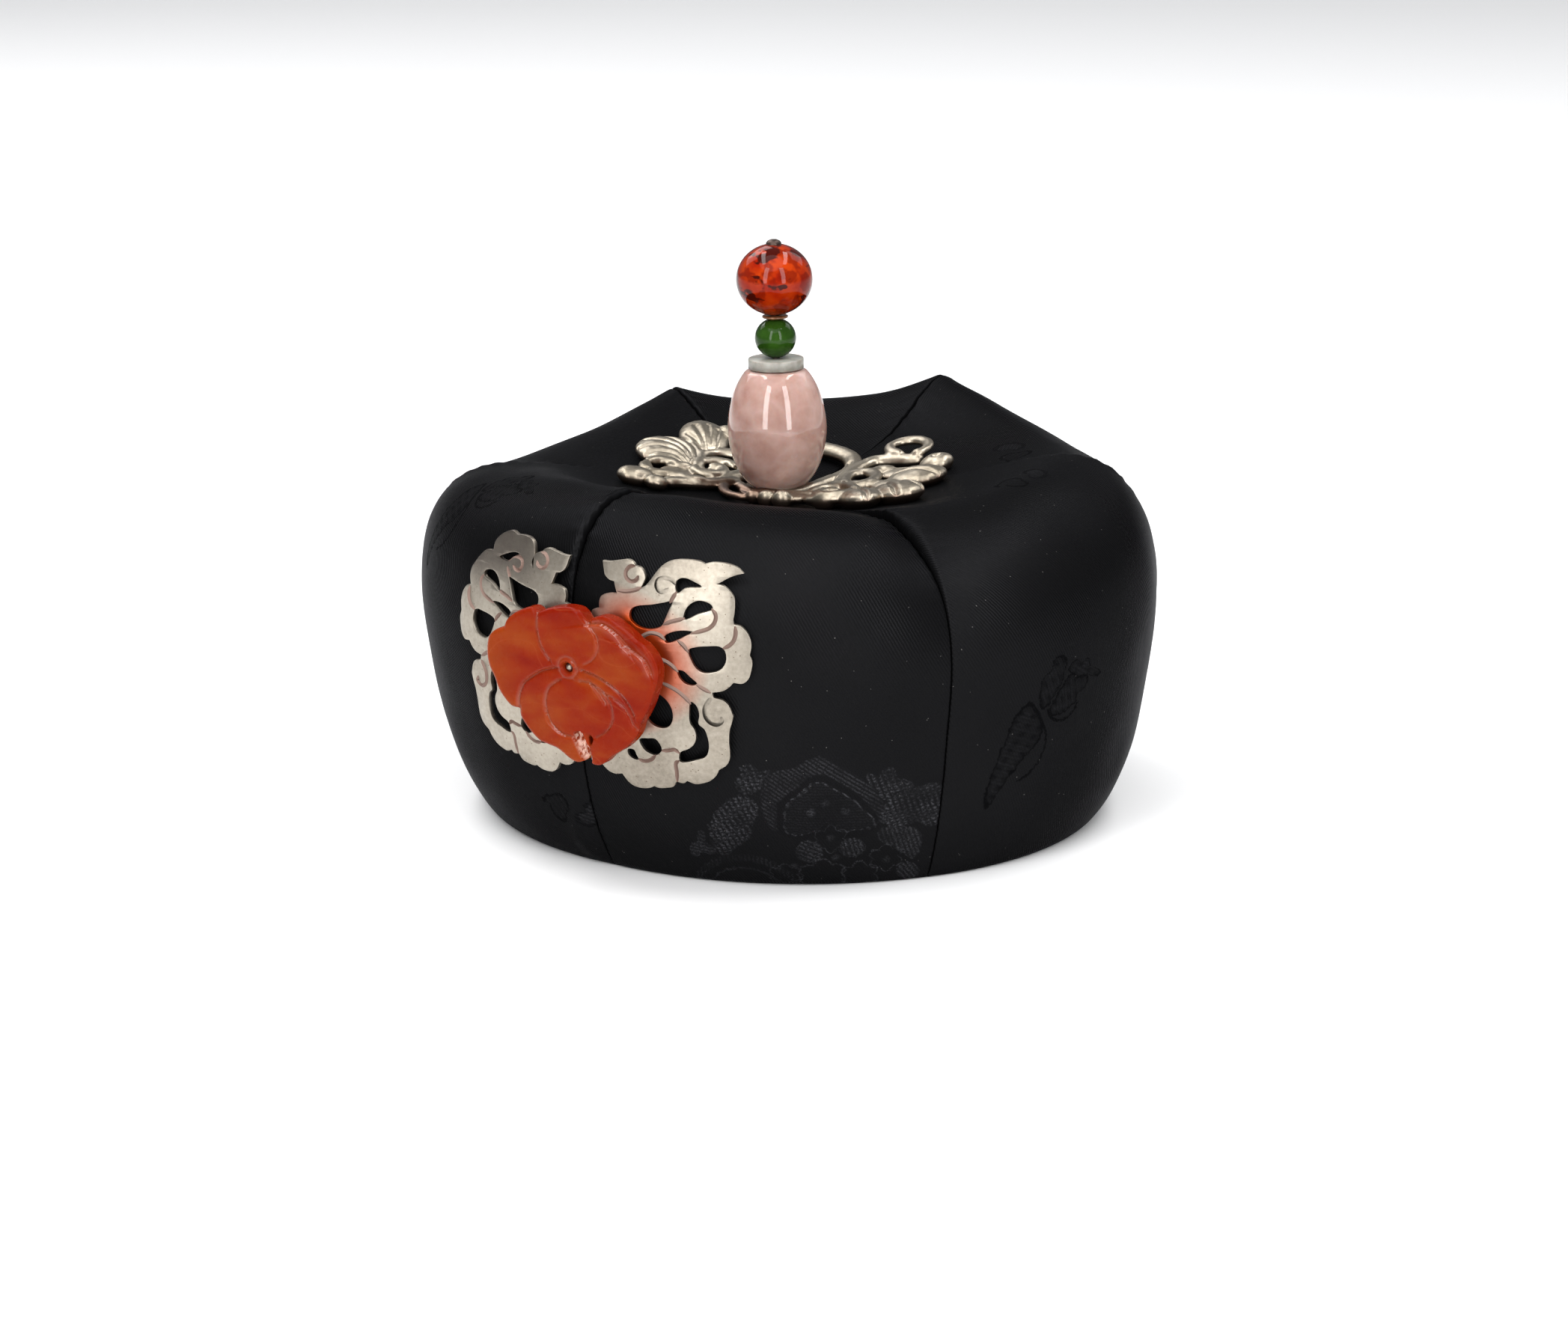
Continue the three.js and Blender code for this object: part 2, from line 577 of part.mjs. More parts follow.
// Height of the underside of the top plate, which follows the dish a little above the silk.
function bowl(x, y) {
  const radius = Math.hypot(x, y);
  const rim = dishHeight(Math.atan2(x, -y));
  return lerp(CENTRE_HEIGHT, rim, (radius / DISH_RADIUS) ** TOP_PLATE_BOWL) + TOP_PLATE_LIFT;
}

const coronet = new THREE.Group();
coronet.position.y = AXIS_BACK;

GORE_NAMES.forEach((name, gore) => {
  coronet.add(mesh(name, goreGeometry(gore), silk));
});

const front = new THREE.Group();
front.rotation.z = degToRad(FRONT_TURN);
const flower = mesh('carnelian_flower', carvedFlower(), carnelian);
flower.position.set(0, -FLOWER_BACK, FLOWER_HEIGHT);
const flowerPin = mesh('flower_pin', turned([
  [0, 0],
  [FLOWER_PIN_HEAD, 0],
  [FLOWER_PIN_HEAD, FLOWER_PIN_HEAD_THICK],
  [FLOWER_PIN, FLOWER_PIN_HEAD_THICK],
  [FLOWER_PIN, FLOWER_PIN_LONG - FLOWER_PIN / 2],
  [FLOWER_PIN / 2, FLOWER_PIN_LONG],
  [0, FLOWER_PIN_LONG],
], FLOWER_PIN_SIDES), sheetSilver);
flowerPin.position.set(0, FLOWER_PIN_IN - SHEET_RADIUS, FLOWER_HEIGHT);
flowerPin.rotation.x = Math.PI / 2;
front.add(mesh('front_plate', frontPlate(), sheetSilver), flower, flowerPin);

const finial = new THREE.Group();
finial.position.set(FINIAL.x, FINIAL.y, CENTRE_HEIGHT);
finial.quaternion.setFromAxisAngle(
  new THREE.Vector3(-Math.sin(FINIAL_LEAN_TO), Math.cos(FINIAL_LEAN_TO), 0),
  FINIAL_LEAN,
);
const beads = new THREE.Group();
beads.position.z = -CENTRE_HEIGHT;
finial.add(beads);
const vaseLine = (low, high) => VASE_LINE.map(({ share, radius }) => [radius, lerp(low, high, share)]);
const collarLine = (low, high) => discLine(COLLAR_RADIUS, low, high, COLLAR_ROUND);
const washerLine = (low, high) => discLine(WASHER_RADIUS, low, high, WASHER_ROUND);
beads.add(
  mesh('vase_bead', drilled(vaseLine(VASE_LOW, VASE_HIGH)), roseQuartz),
  mesh('collar_disc', bead(VASE_HIGH, COLLAR_HIGH, collarLine), whiteShell),
  mesh('jade_bead', bead(COLLAR_HIGH, JADE_HIGH, ball(JADE_RADIUS)), jade),
  mesh('amber_washer', bead(JADE_HIGH, WASHER_HIGH, washerLine), darkAmber),
  mesh('amber_bead', bead(WASHER_HIGH, AMBER_HIGH, ball(AMBER_RADIUS)), amber),
  mesh('bead_pin', beadPin(), darkMetal),
);

coronet.add(front, mesh('top_plate', topPlate(), castSilver), finial);

export default coronet;
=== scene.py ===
# %% [markdown]
# # A padded bridal coronet
# The real thing is a small crown worn on top of the head with wedding dress. Six stuffed gores of black
# silk meet in a dish at the top. A pierced silver plate with a carved carnelian flower is pinned to the
# front, a cast silver ornament lies in the dish, and a column of stone beads stands on it. This lesson
# loads the solid model as a frame and then makes each piece again with its real surface.

# %% Load the frame
import json
import math

import bmesh
import bpy
import numpy as np
from mathutils import Matrix, Vector, noise


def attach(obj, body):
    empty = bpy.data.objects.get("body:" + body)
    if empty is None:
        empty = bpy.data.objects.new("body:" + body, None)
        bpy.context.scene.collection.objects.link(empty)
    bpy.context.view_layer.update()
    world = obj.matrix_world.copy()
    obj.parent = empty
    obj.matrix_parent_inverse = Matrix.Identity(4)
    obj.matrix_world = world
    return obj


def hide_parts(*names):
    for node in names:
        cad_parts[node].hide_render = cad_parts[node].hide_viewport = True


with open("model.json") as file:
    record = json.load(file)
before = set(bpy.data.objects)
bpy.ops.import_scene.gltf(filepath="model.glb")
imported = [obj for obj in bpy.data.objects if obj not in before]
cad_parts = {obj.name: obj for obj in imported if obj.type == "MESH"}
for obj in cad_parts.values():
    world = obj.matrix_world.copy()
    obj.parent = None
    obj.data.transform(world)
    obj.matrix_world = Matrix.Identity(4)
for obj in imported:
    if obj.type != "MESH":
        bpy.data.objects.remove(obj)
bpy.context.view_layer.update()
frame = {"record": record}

# %% [markdown]
# ## Units and the crown's own axis
# The solid model is in metres, but every size on a jewel is easier to read in millimetres. Each piece is
# therefore shaped in millimetres about the crown's upright axis, with the front seam towards -Y, and one
# matrix takes the finished mesh to its place. The axis stands a little behind the middle of the whole.

# %% From millimetres about the axis to the frame
AXIS = Vector(frame["record"]["mounts"][0]["pos_m"])
CROWN = Matrix.Translation((0, AXIS.y, 0)) @ Matrix.Scale(0.001, 4)
TURN_FRONT = math.radians(3.6)
FRONT = CROWN @ Matrix.Rotation(TURN_FRONT, 4, "Z")


def into_scene(name, data):
    """A new object in the scene for a mesh, a curve, a light or a camera."""
    thing = bpy.data.objects.new(name, data)
    bpy.context.scene.collection.objects.link(thing)
    return thing


def finish_piece(name, shape, place, *finishes, sharp=180):
    """Makes a bmesh in millimetres into a placed piece with its materials."""
    mesh = bpy.data.meshes.new(name)
    shape.to_mesh(mesh)
    shape.free()
    mesh.transform(place)
    mesh.shade_smooth()
    if sharp < 180:
        mesh.set_sharp_from_angle(angle=math.radians(sharp))
    for finish in finishes:
        mesh.materials.append(finish)
    print(f"{name}: {len(mesh.vertices)} points, {len(mesh.polygons)} faces")
    return into_scene(name, mesh)


def settle(piece, slot, *nodes):
    """The piece rides on the crown and takes the place of its solids; slot is not used."""
    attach(piece, "root")
    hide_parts(*nodes)


print("crown axis stands at y =", round(AXIS.y * 1000, 2), "mm")

# %% [markdown]
# ## Camera
# The photograph was taken from the right of the front seam and a little above. The camera is built from
# those two angles and the distance at which the crown has the size that it has in the picture.

# %% Camera at the photograph's angle
VIEW_AZIMUTH = math.radians(35)
VIEW_ELEVATION = math.radians(15)
VIEW_DISTANCE = 0.9
PIXELS = (2095, 1764)
FOCAL_PIXELS = 5214
CROWN_PIXEL = (1056, 1058)
FILM_WIDTH = 36


def direction(azimuth, elevation):
    """The way from the crown to an azimuth, measured from the front seam to the right, and an elevation."""
    return Vector((math.sin(azimuth) * math.cos(elevation), -math.cos(azimuth) * math.cos(elevation),
                   math.sin(elevation)))


towards = direction(VIEW_AZIMUTH, VIEW_ELEVATION)
rightwards = Vector((math.cos(VIEW_AZIMUTH), math.sin(VIEW_AZIMUTH), 0))
upwards = towards.cross(rightwards)
aside = (CROWN_PIXEL[0] - PIXELS[0] / 2) / FOCAL_PIXELS * VIEW_DISTANCE
below = (CROWN_PIXEL[1] - PIXELS[1] / 2) / FOCAL_PIXELS * VIEW_DISTANCE
station = towards * VIEW_DISTANCE - rightwards * aside + upwards * below + Vector((0, AXIS.y, 0))

lens = bpy.data.cameras.new("camera")
lens.sensor_fit = "HORIZONTAL"
lens.sensor_width = FILM_WIDTH
lens.lens = FILM_WIDTH * FOCAL_PIXELS / PIXELS[0]
lens.clip_start = 0.05
camera = into_scene("camera", lens)
aim = Matrix((rightwards, upwards, towards)).transposed().to_4x4()
camera.matrix_world = Matrix.Translation(station) @ aim
bpy.context.scene.camera = camera
bpy.context.scene.view_settings.view_transform = "Standard"
print(f"camera at {tuple(round(v, 3) for v in station)}, lens {lens.lens:.1f} mm")

# %% [markdown]
# ## Studio
# Polished stones show what lights them. The beads in the photograph carry two tall narrow reflections,
# one on each side, and two short ones near the top. So two strip lights stand left and right of the
# camera, and two more hang above. Three wide panels behind the crown give the silk its soft shoulders
# and keep the back readable when it is turned round. A sun with a very wide disc and a pale sky fill
# the rest.

# %% Floor, sky and lights
AIM_HEIGHT = 0.06
# azimuth from the camera's and elevation in degrees, distance, width and height in metres, and watts
PANELS = (
    ("strip_left", -28, 25, 0.95, 0.2, 0.9, 5.1),
    ("strip_right", 28, 25, 0.95, 0.2, 0.9, 5.1),
    ("ceiling_left", -100, 67, 1.1, 0.95, 0.16, 4.5),
    ("ceiling_right", 100, 67, 1.1, 0.95, 0.16, 5.2),
    ("back_left", -130, 40, 1.8, 0.9, 0.9, 6),
    ("back_right", 130, 40, 1.8, 0.9, 0.9, 5),
    ("back_middle", -152, 42, 1.8, 1.0, 0.7, 6.5),
)
SUN_STRENGTH, SUN_DISC, SUN_LEAN = 1.4, 60, (22, -8)
SKY_COLOUR, SKY_STRENGTH = (0.93, 0.95, 1.0, 1), 0.25
FLOOR_HALF, FLOOR_GAP = 4000, 0.15

for name, azimuth, elevation, distance, wide, high, watts in PANELS:
    panel = bpy.data.lights.new(name, "AREA")
    panel.shape = "RECTANGLE"
    panel.size, panel.size_y, panel.energy = wide, high, watts
    way = direction(VIEW_AZIMUTH + math.radians(azimuth), math.radians(elevation))
    place = Matrix.Translation(Vector((0, AXIS.y, AIM_HEIGHT)) + way * distance)
    into_scene(name, panel).matrix_world = place @ way.to_track_quat("Z", "Y").to_matrix().to_4x4()

soft_sun = bpy.data.lights.new("overhead", "SUN")
soft_sun.energy, soft_sun.angle = SUN_STRENGTH, math.radians(SUN_DISC)
into_scene("overhead", soft_sun).rotation_euler = (*(math.radians(lean) for lean in SUN_LEAN), VIEW_AZIMUTH)

sky = bpy.data.worlds.new("sky")
sky.use_nodes = True
backdrop = sky.node_tree.nodes["Background"].inputs
backdrop["Color"].default_value, backdrop["Strength"].default_value = SKY_COLOUR, SKY_STRENGTH
bpy.context.scene.world = sky

floor_shape = bmesh.new()
bmesh.ops.create_grid(floor_shape, x_segments=1, y_segments=1, size=FLOOR_HALF)
floor = finish_piece("floor", floor_shape, CROWN @ Matrix.Translation((0, 0, -FLOOR_GAP)))
print(len(PANELS), "light panels, a sun and a floor")

# %% [markdown]
# ## A way to write materials
# Node trees are easier to read as sums. The class below wraps the output of a node, so that + - * /
# and comparisons on it add Math nodes. Its partner, the look, adds every other node from its type, its
# settings and the values of its sockets.

# %% Wires and looks
class Wire:
    """The value that leaves a node. Sums on it add Math nodes to its look."""

    def __init__(self, look, socket):
        self.look = look
        self.socket = socket

    def math(self, operation, *others):
        return self.look.add("ShaderNodeMath", {"operation": operation}, dict(enumerate((self, *others))))

    def __add__(self, other):
        return self.math("ADD", other)

    __radd__ = __add__

    def __mul__(self, other):
        return self.math("MULTIPLY", other)

    __rmul__ = __mul__

    def __sub__(self, other):
        return self.math("SUBTRACT", other)

    def __rsub__(self, other):
        return self.look.add("ShaderNodeMath", {"operation": "SUBTRACT"}, {0: other, 1: self})

    def __truediv__(self, other):
        return self.math("DIVIDE", other)

    def __abs__(self):
        return self.math("ABSOLUTE")

    def __lt__(self, other):
        return self.math("LESS_THAN", other)

    def __gt__(self, other):
        return self.math("GREATER_THAN", other)

    def least(self, other):
        return self.math("MINIMUM", other)

    def most(self, other):
        return self.math("MAXIMUM", other)

    def kept(self, low=0, high=1):
        """The value kept between two limits."""
        return self.most(low).least(high)


class Look:
    """A material in the making, round one Principled BSDF whose plain values are set at once."""

    def __init__(self, name, **values):
        self.material = bpy.data.materials.new(name)
        self.material.use_nodes = True
        self.tree = self.material.node_tree
        self.shader = self.tree.nodes["Principled BSDF"]
        for socket, value in values.items():
            self.shader.inputs[socket.replace("_", " ")].default_value = value

    def add(self, kind, settings=None, values=None, output=0):
        node = self.tree.nodes.new(kind)
        for name, setting in (settings or {}).items():
            if name == "stops":
                stops = node.color_ramp.elements
                stops.remove(stops[1])
                for i, (position, grey) in enumerate(setting):
                    stop = stops.new(position) if i else stops[0]
                    stop.position = position
                    stop.color = grey if isinstance(grey, tuple) else (grey, grey, grey, 1)
            elif name == "fade":
                node.color_ramp.interpolation = setting
            else:
                setattr(node, name, setting)
        for socket, value in (values or {}).items():
            if isinstance(value, Wire):
                self.tree.links.new(value.socket, node.inputs[socket])
            else:
                node.inputs[socket].default_value = value
        return Wire(self, node.outputs[output])

    def feed(self, socket, wire):
        self.tree.links.new(wire.socket, self.shader.inputs[socket])

    def mix(self, share, first, second):
        """One colour turning into another as share goes from 0 to 1."""
        return self.add("ShaderNodeMix", {"data_type": "RGBA"}, {0: share, 6: first, 7: second}, 2)

    def place(self, scale=(1, 1, 1), turn=(0, 0, 0), shift=(0, 0, 0)):
        """Object coordinates, stretched, turned and shifted."""
        where = self.add("ShaderNodeTexCoord", output="Object")
        return self.add("ShaderNodeMapping", values={"Vector": where, "Location": shift,
                                                     "Rotation": turn, "Scale": scale})

    def cloud(self, where, size_mm, detail=2.0, rough=0.5):
        """Soft random grey with patches of about the given size."""
        return self.add("ShaderNodeTexNoise", {}, {"Vector": where, "Scale": 1000 / size_mm,
                                                   "Detail": detail, "Roughness": rough})

    def specks(self, where, size_mm):
        """How far each place is from the nearest of many scattered dots, in shares of their spacing."""
        return self.add("ShaderNodeTexVoronoi", {}, {"Vector": where, "Scale": 1000 / size_mm})

    def ramp(self, wire, *stops, fade="LINEAR"):
        return self.add("ShaderNodeValToRGB", {"fade": fade, "stops": stops}, {"Fac": wire})

    def bump(self, height, depth_mm, strength):
        return self.add("ShaderNodeBump", {}, {"Height": height, "Distance": depth_mm / 1000,
                                               "Strength": strength})

    def millimetres(self, where, axes):
        """The named parts of a place, such as "XY", in millimetres."""
        return [self.add("ShaderNodeSeparateXYZ", {}, {"Vector": where}, axis) * 1000 for axis in axes]

    def mark(self, name):
        """A number that was written on the points of the mesh."""
        return self.add("ShaderNodeAttribute", {"attribute_name": name}, output="Fac")

    def facing(self, blend):
        """0 where the surface faces the eye, 1 at its rim."""
        return self.add("ShaderNodeLayerWeight", {}, {"Blend": blend}, "Facing")


def away(dx, dy):
    """Distance from a middle, for wires."""
    return (dx * dx + dy * dy).math("SQRT")


def rgb(*parts):
    """A colour given as it reads on screen, from 0 to 255, as the linear values that nodes use."""
    return *(c / 255 / 12.92 if c <= 10 else ((c / 255 + 0.055) / 1.055) ** 2.4 for c in parts), 1


paper = Look("pale_floor", Base_Color=rgb(240, 240, 240), Roughness=0.9, Specular_IOR_Level=0.1)
floor.data.materials.append(paper.material)
print("a floor colour of 240 on screen is", round(rgb(240, 240, 240)[0], 3), "in nodes")

# %% [markdown]
# ## The silk gores: their outline
# Each gore is a stuffed panel that starts at the hem, swells to the belly, turns over a crest and falls
# into the dish. A short table gives that outline at each seam and at each gore's middle, and smooth
# lines through it give all the rest. The stuffing makes the middle stand out from the seams.

# %% Profiles of the crown
GORES = ("gore_front_right", "gore_right", "gore_back_right",
         "gore_back_left", "gore_left", "gore_front_left")
# hem, belly and crest radius, height of the crest, and how square the shoulder is
PROFILES = (
    ("front seam", 66.5, 80.6, 60, 81.8, 2.8),
    ("front right gore", 67.8, 83.2, 55, 79.8, 2.3),
    ("front right seam", 69.5, 79.6, 50, 75.8, 1.9),
    ("right gore", 70.8, 84.0, 57, 79.5, 2.2),
    ("back right seam", 70.4, 82.6, 61, 80.6, 2.1),
    ("back right gore", 71.0, 84.0, 57, 81.5, 1.75),
    ("back seam", 70.0, 80.5, 61, 88.0, 2.1),
    ("back left gore", 71.0, 83.5, 56, 80.3, 2.2),
    ("back left seam", 70.0, 80.8, 64, 83.4, 2.2),
    ("left gore", 70.5, 83.8, 53, 77.6, 1.7),
    ("front left seam", 69.2, 82.2, 58, 76.4, 2.9),
    ("front left gore", 68.0, 83.2, 56, 79.4, 2.5),
)
FLANK = ((0.2, 4), (0.5, 13), (0.775, 28), (1, 52))
SHOULDER = (0.42, 0.68, 0.86, 0.96, 1)
DISH_RADIUS, DISH_FRONT, DISH_BACK, DISH_CENTRE = 40, 74, 77, 69.5
FINIAL = Vector((-2.2, -1.55, DISH_CENTRE))
WALL = 4
GORE_WIDTH = 60  # degrees of azimuth


def smooth_line(points, cuts, closed=False):
    """Points along one smooth curve through the given ones, with so many cuts to each stretch."""
    points = np.asarray(points, float)
    if closed:
        beads = np.vstack([points[-1], points, points[:2]])
    else:
        beads = np.vstack([2 * points[0] - points[1], points, 2 * points[-1] - points[-2]])
    share = (np.arange(cuts) / cuts)[:, None]
    stretches = []
    for before, start, end, after in zip(beads, beads[1:], beads[2:], beads[3:]):
        g0, g1, g2 = (max(1e-4, np.linalg.norm(b - a)) ** 0.5
                      for a, b in ((before, start), (start, end), (end, after)))
        leave = g1 * ((start - before) / g0 - (end - before) / (g0 + g1) + (end - start) / g1)
        reach = g1 * ((end - start) / g1 - (after - start) / (g1 + g2) + (after - end) / g2)
        stretches.append((2 * share**3 - 3 * share**2 + 1) * start + (share**3 - 2 * share**2 + share) * leave
                         + (3 * share**2 - 2 * share**3) * end + (share**3 - share**2) * reach)
    return np.vstack(stretches if closed else [*stretches, points[-1:]])


def dish_height(azimuth):
    """Height of the silk at the edge of the dish, lower in front than behind."""
    return DISH_FRONT + (DISH_BACK - DISH_FRONT) * (1 - math.cos(azimuth)) / 2


def gore_profile(gore, share):
    """Radius and height along the outside of a gore, at a share of its width, hem first."""
    left, middle, right = (np.array(PROFILES[(2 * gore + i) % 12][1:]) for i in range(3))
    swell = 1 - abs(2 * share - 1) ** 2.4  # 1 in the middle of the gore, 0 at its seams
    hem, belly, crest, peak, full = left + (right - left) * share + (middle - (left + right) / 2) * swell
    dish = dish_height(math.radians(GORE_WIDTH * (gore + share)))
    flank = [(hem + (belly - hem) * part, height) for part, height in FLANK]
    foot = FLANK[-1][1]
    shoulder = [(crest + (belly - crest) * (1 - rise**full) ** (1 / full), foot + (peak - foot) * rise)
                for rise in SHOULDER]
    inward = [(DISH_RADIUS, dish), (DISH_RADIUS / 2, DISH_CENTRE + (dish - DISH_CENTRE) * 0.36),
              (2, DISH_CENTRE)]
    return smooth_line([(hem, 0), *flank, *shoulder, *inward], 12)


print("front seam at the hem and the belly:", gore_profile(0, 0)[[0, 48]].round(1).tolist())

# %% [markdown]
# ## The silk gores: folds and seams
# A panel that is only swollen looks like plastic. Real silk over wadding turns in sharply at each seam,
# puckers where the thread pulls, rolls over its neighbour at the shoulder and lies in shallow waves.
# Cloth simulation would have to be repeated at every run, so the same forms are pressed into the dense
# mesh by a few plain functions, as a sculptor's brushes would do it.

# %% Brushes for the padding
COLUMNS, ROWS = 56, 168
HEM_ROUND = 1.6


def fade_in(value, start, end):
    """0 before start, 1 after end, smooth between."""
    share = np.clip((value - start) / (end - start), 0, 1)
    return share * share * (3 - 2 * share)


def hill(value, middle, reach):
    """1 at the middle, falling softly to 0 on both sides."""
    return np.exp(-((value - middle) / reach) ** 2)


def grain(x, y, z, size):
    """Soft noise of about -1 to 1 for arrays of places, with features of the given size."""
    flat = [noise.noise(Vector(place) / size) for place in zip(x.ravel(), y.ravel(), z.ravel())]
    return np.array(flat).reshape(x.shape)


def seam_edge(distance, from_hem, turn_in):
    """How far the cloth turns in near its seam and its hem, as a quarter round."""
    across = np.clip(turn_in - distance, 0, None)
    along = np.clip(HEM_ROUND - from_hem, 0, None) / HEM_ROUND * turn_in
    return turn_in - np.sqrt(np.clip(turn_in**2 - across**2 - along**2, 0, None))


# Height of the roll on each side of each seam, at the shoulder: left side, then right side.
ROLLS = ((0.5, -0.8), (-1.5, 0.8), (0.3, -0.4), (-0.4, 0.3), (0.2, -0.5), (-0.4, 0.4))


def padding(gore, radius, height, azimuth, to_left, to_right, along):
    """How far each point of the outside stands out from the smooth profile, in millimetres."""
    x, y = radius * np.sin(azimuth), -radius * np.cos(azimuth)
    # shallow waves of the wadding
    out = 0.55 * grain(x, y, height, 34) + 0.22 * grain(x, y, height + 90, 13)
    shoulder = hill(height, 77, 8.5) * fade_in(radius, 30, 50)
    near = np.minimum(to_left, to_right)
    # creases where the thread of the seam pulls, and fine puckers close beside it
    pull = grain(x * 0.35, y * 0.35, height, 2.6)
    out = out + 0.30 * pull * np.exp(-near / 3.5) * (0.35 + shoulder)
    out = out + 0.13 * np.sin(along * 1.75 + 2.5 * pull) * np.exp(-near / 2.2) * (0.3 + 1.3 * shoulder)
    # rolls along the seams at the shoulder, and one fold low beside the front seam
    left_roll, right_roll = ROLLS[gore][1], ROLLS[(gore + 1) % 6][0]
    out = out + left_roll * shoulder * np.exp(-(to_left / 6.5) ** 2)
    out = out + right_roll * shoulder * np.exp(-(to_right / 6.5) ** 2)
    if gore == 5:
        out = out + 1.1 * hill(to_right, 4.5, 3.2) * fade_in(-height, -34, -12)
    return out


print("the brushes work on", COLUMNS + 1, "by", ROWS + 1, "points of each gore")

# %% [markdown]
# ## The silk gores: the mesh
# Each gore is a closed body: a flat grid is given a thickness, and then its two sides are laid on the
# outside and the inside of the padded wall. The same step writes the map of the cloth, in metres across
# and along the panel, so that weave and woven figures follow the silk and not the room.

# %% Lay the gores
SEAM_GAP = 0.2  # how far each gore is moved out from the axis


def padded_gore(gore):
    """One gore of the crown as a bmesh, with its cloth map."""
    across = (1 + np.sin(math.pi / 2 * (2 * np.arange(COLUMNS + 1) / COLUMNS - 1))) / 2
    steps = (np.arange(ROWS + 1) / ROWS) ** 1.18  # rows lie closer at the hem
    radius, height, along, inner_r, inner_z = (np.zeros((COLUMNS + 1, ROWS + 1)) for _ in range(5))
    for column, share in enumerate(across):
        line = gore_profile(gore, share)
        length = np.concatenate([[0], np.cumsum(np.linalg.norm(np.diff(line, axis=0), axis=1))])
        along[column] = steps * length[-1]
        radius[column] = np.interp(along[column], length, line[:, 0])
        height[column] = np.interp(along[column], length, line[:, 1])
        slope = np.stack([np.gradient(radius[column]), np.gradient(height[column])])
        slope /= np.linalg.norm(slope, axis=0)
        slope[:, 0], slope[:, -1] = (0, 1), (-1, 0)
        inner_r[column] = radius[column] - slope[1] * WALL
        inner_z[column] = height[column] + slope[0] * WALL
    azimuth = np.radians(GORE_WIDTH * (gore + across))[:, None] + 0 * radius
    arc = np.radians(GORE_WIDTH * across)[:, None] * radius
    to_left, to_right = arc, math.radians(GORE_WIDTH) * radius - arc
    out = padding(gore, radius, height, azimuth, to_left, to_right, along)
    outside_dish = fade_in(radius, 42, 64)
    turn_in = 0.28 + outside_dish * (0.17 + 1.0 * hill(height, 75, 10))
    turn_in = np.minimum(turn_in, 0.4 * math.radians(GORE_WIDTH) * radius)
    out = out * fade_in(along, 0, 8) * fade_in(radius, 4, 20)
    out = out - seam_edge(np.minimum(to_left, to_right), along, turn_in)
    tilt_r, tilt_z = (radius - inner_r) / WALL, (height - inner_z) / WALL
    shells = ((radius + tilt_r * out, height + tilt_z * out), (inner_r, inner_z))
    middle = math.radians(GORE_WIDTH * gore + GORE_WIDTH / 2)
    cloth = bmesh.new()
    bmesh.ops.create_grid(cloth, x_segments=COLUMNS, y_segments=ROWS, size=0.5)
    bmesh.ops.solidify(cloth, geom=cloth.faces[:], thickness=0.1)
    cloth_map = cloth.loops.layers.uv.new("cloth")
    levels = [point.co.z for point in cloth.verts]
    split = (min(levels) + max(levels)) / 2
    places = {}
    for point in cloth.verts:
        column, row = round((point.co.x + 0.5) * COLUMNS), round((point.co.y + 0.5) * ROWS)
        r, z = (side[column, row] for side in shells[0 if point.co.z > split else 1])
        turn = azimuth[column, row]
        to_pin = max(0, 1 - r / DISH_RADIUS)
        point.co = (r * math.sin(turn) + SEAM_GAP * math.sin(middle) + FINIAL.x * to_pin,
                    -r * math.cos(turn) - SEAM_GAP * math.cos(middle) + FINIAL.y * to_pin, max(z, 0.02))
        places[point] = ((arc[column, row] - math.radians(GORE_WIDTH / 2) * radius[column, row]) / 1000,
                         along[column, row] / 1000)
    for face in cloth.faces:
        for loop in face.loops:
            loop[cloth_map].uv = places[loop.vert]
    bmesh.ops.recalc_face_normals(cloth, faces=cloth.faces)
    return cloth


# %% [markdown]
# ## Silk satin
# The cloth is a fine satin twill: close diagonal ribs, a broad soft sheen and next to no hard shine.
# Figures are woven into it black on black, and only show because their threads lie another way. All of
# it reads the cloth map in millimetres. First come the tools for a woven figure: a closed shape is
# told by how far it reaches in each direction from its middle, which is one colour ramp round the
# compass.

# %% Tools for woven figures
def woven_shape(look, x, y, outline):
    """0 in the middle of a closed shape, 1 on its outline and more outside."""
    points = np.array(outline, float)
    middle = points.mean(axis=0)
    spokes = points - middle
    compass = np.arctan2(spokes[:, 1], spokes[:, 0]) / math.tau + 0.5
    reach = np.hypot(*spokes.T)[np.argsort(compass)]
    compass, widest = np.sort(compass), reach.max()
    seam = np.interp(1, (compass[-1], compass[0] + 1), (reach[-1], reach[0]))
    stops = [(0, seam / widest), *zip(compass, reach / widest), (1, seam / widest)]
    dx, dy = x - middle[0], y - middle[1]
    edge = look.ramp(dy.math("ARCTAN2", dx) / math.tau + 0.5, *stops, fade="CARDINAL") * widest
    return away(dx, dy) / edge


def inside(shape, soft=0.06):
    """1 inside a woven shape and 0 outside it, with a soft edge."""
    return ((1 - shape) / soft).kept()


def on_rim(shape, depth=0.14):
    """1 on a band that runs along the inside of the outline."""
    return inside(shape, 0.03) * (1 - inside(shape + depth, 0.03))


def woven_arc(x, y, middle, radius, width):
    """1 on a thin circle of thread."""
    return inside(abs(away(x - middle[0], y - middle[1]) - radius) / width, 0.4)


def ribs_of(x, y, degrees, pitch):
    """Raised threads in one direction, from 0 to 1."""
    turn = math.radians(degrees)
    return ((x * math.cos(turn) + y * math.sin(turn)) * (math.tau / pitch)).math("SINE") * 0.5 + 0.5


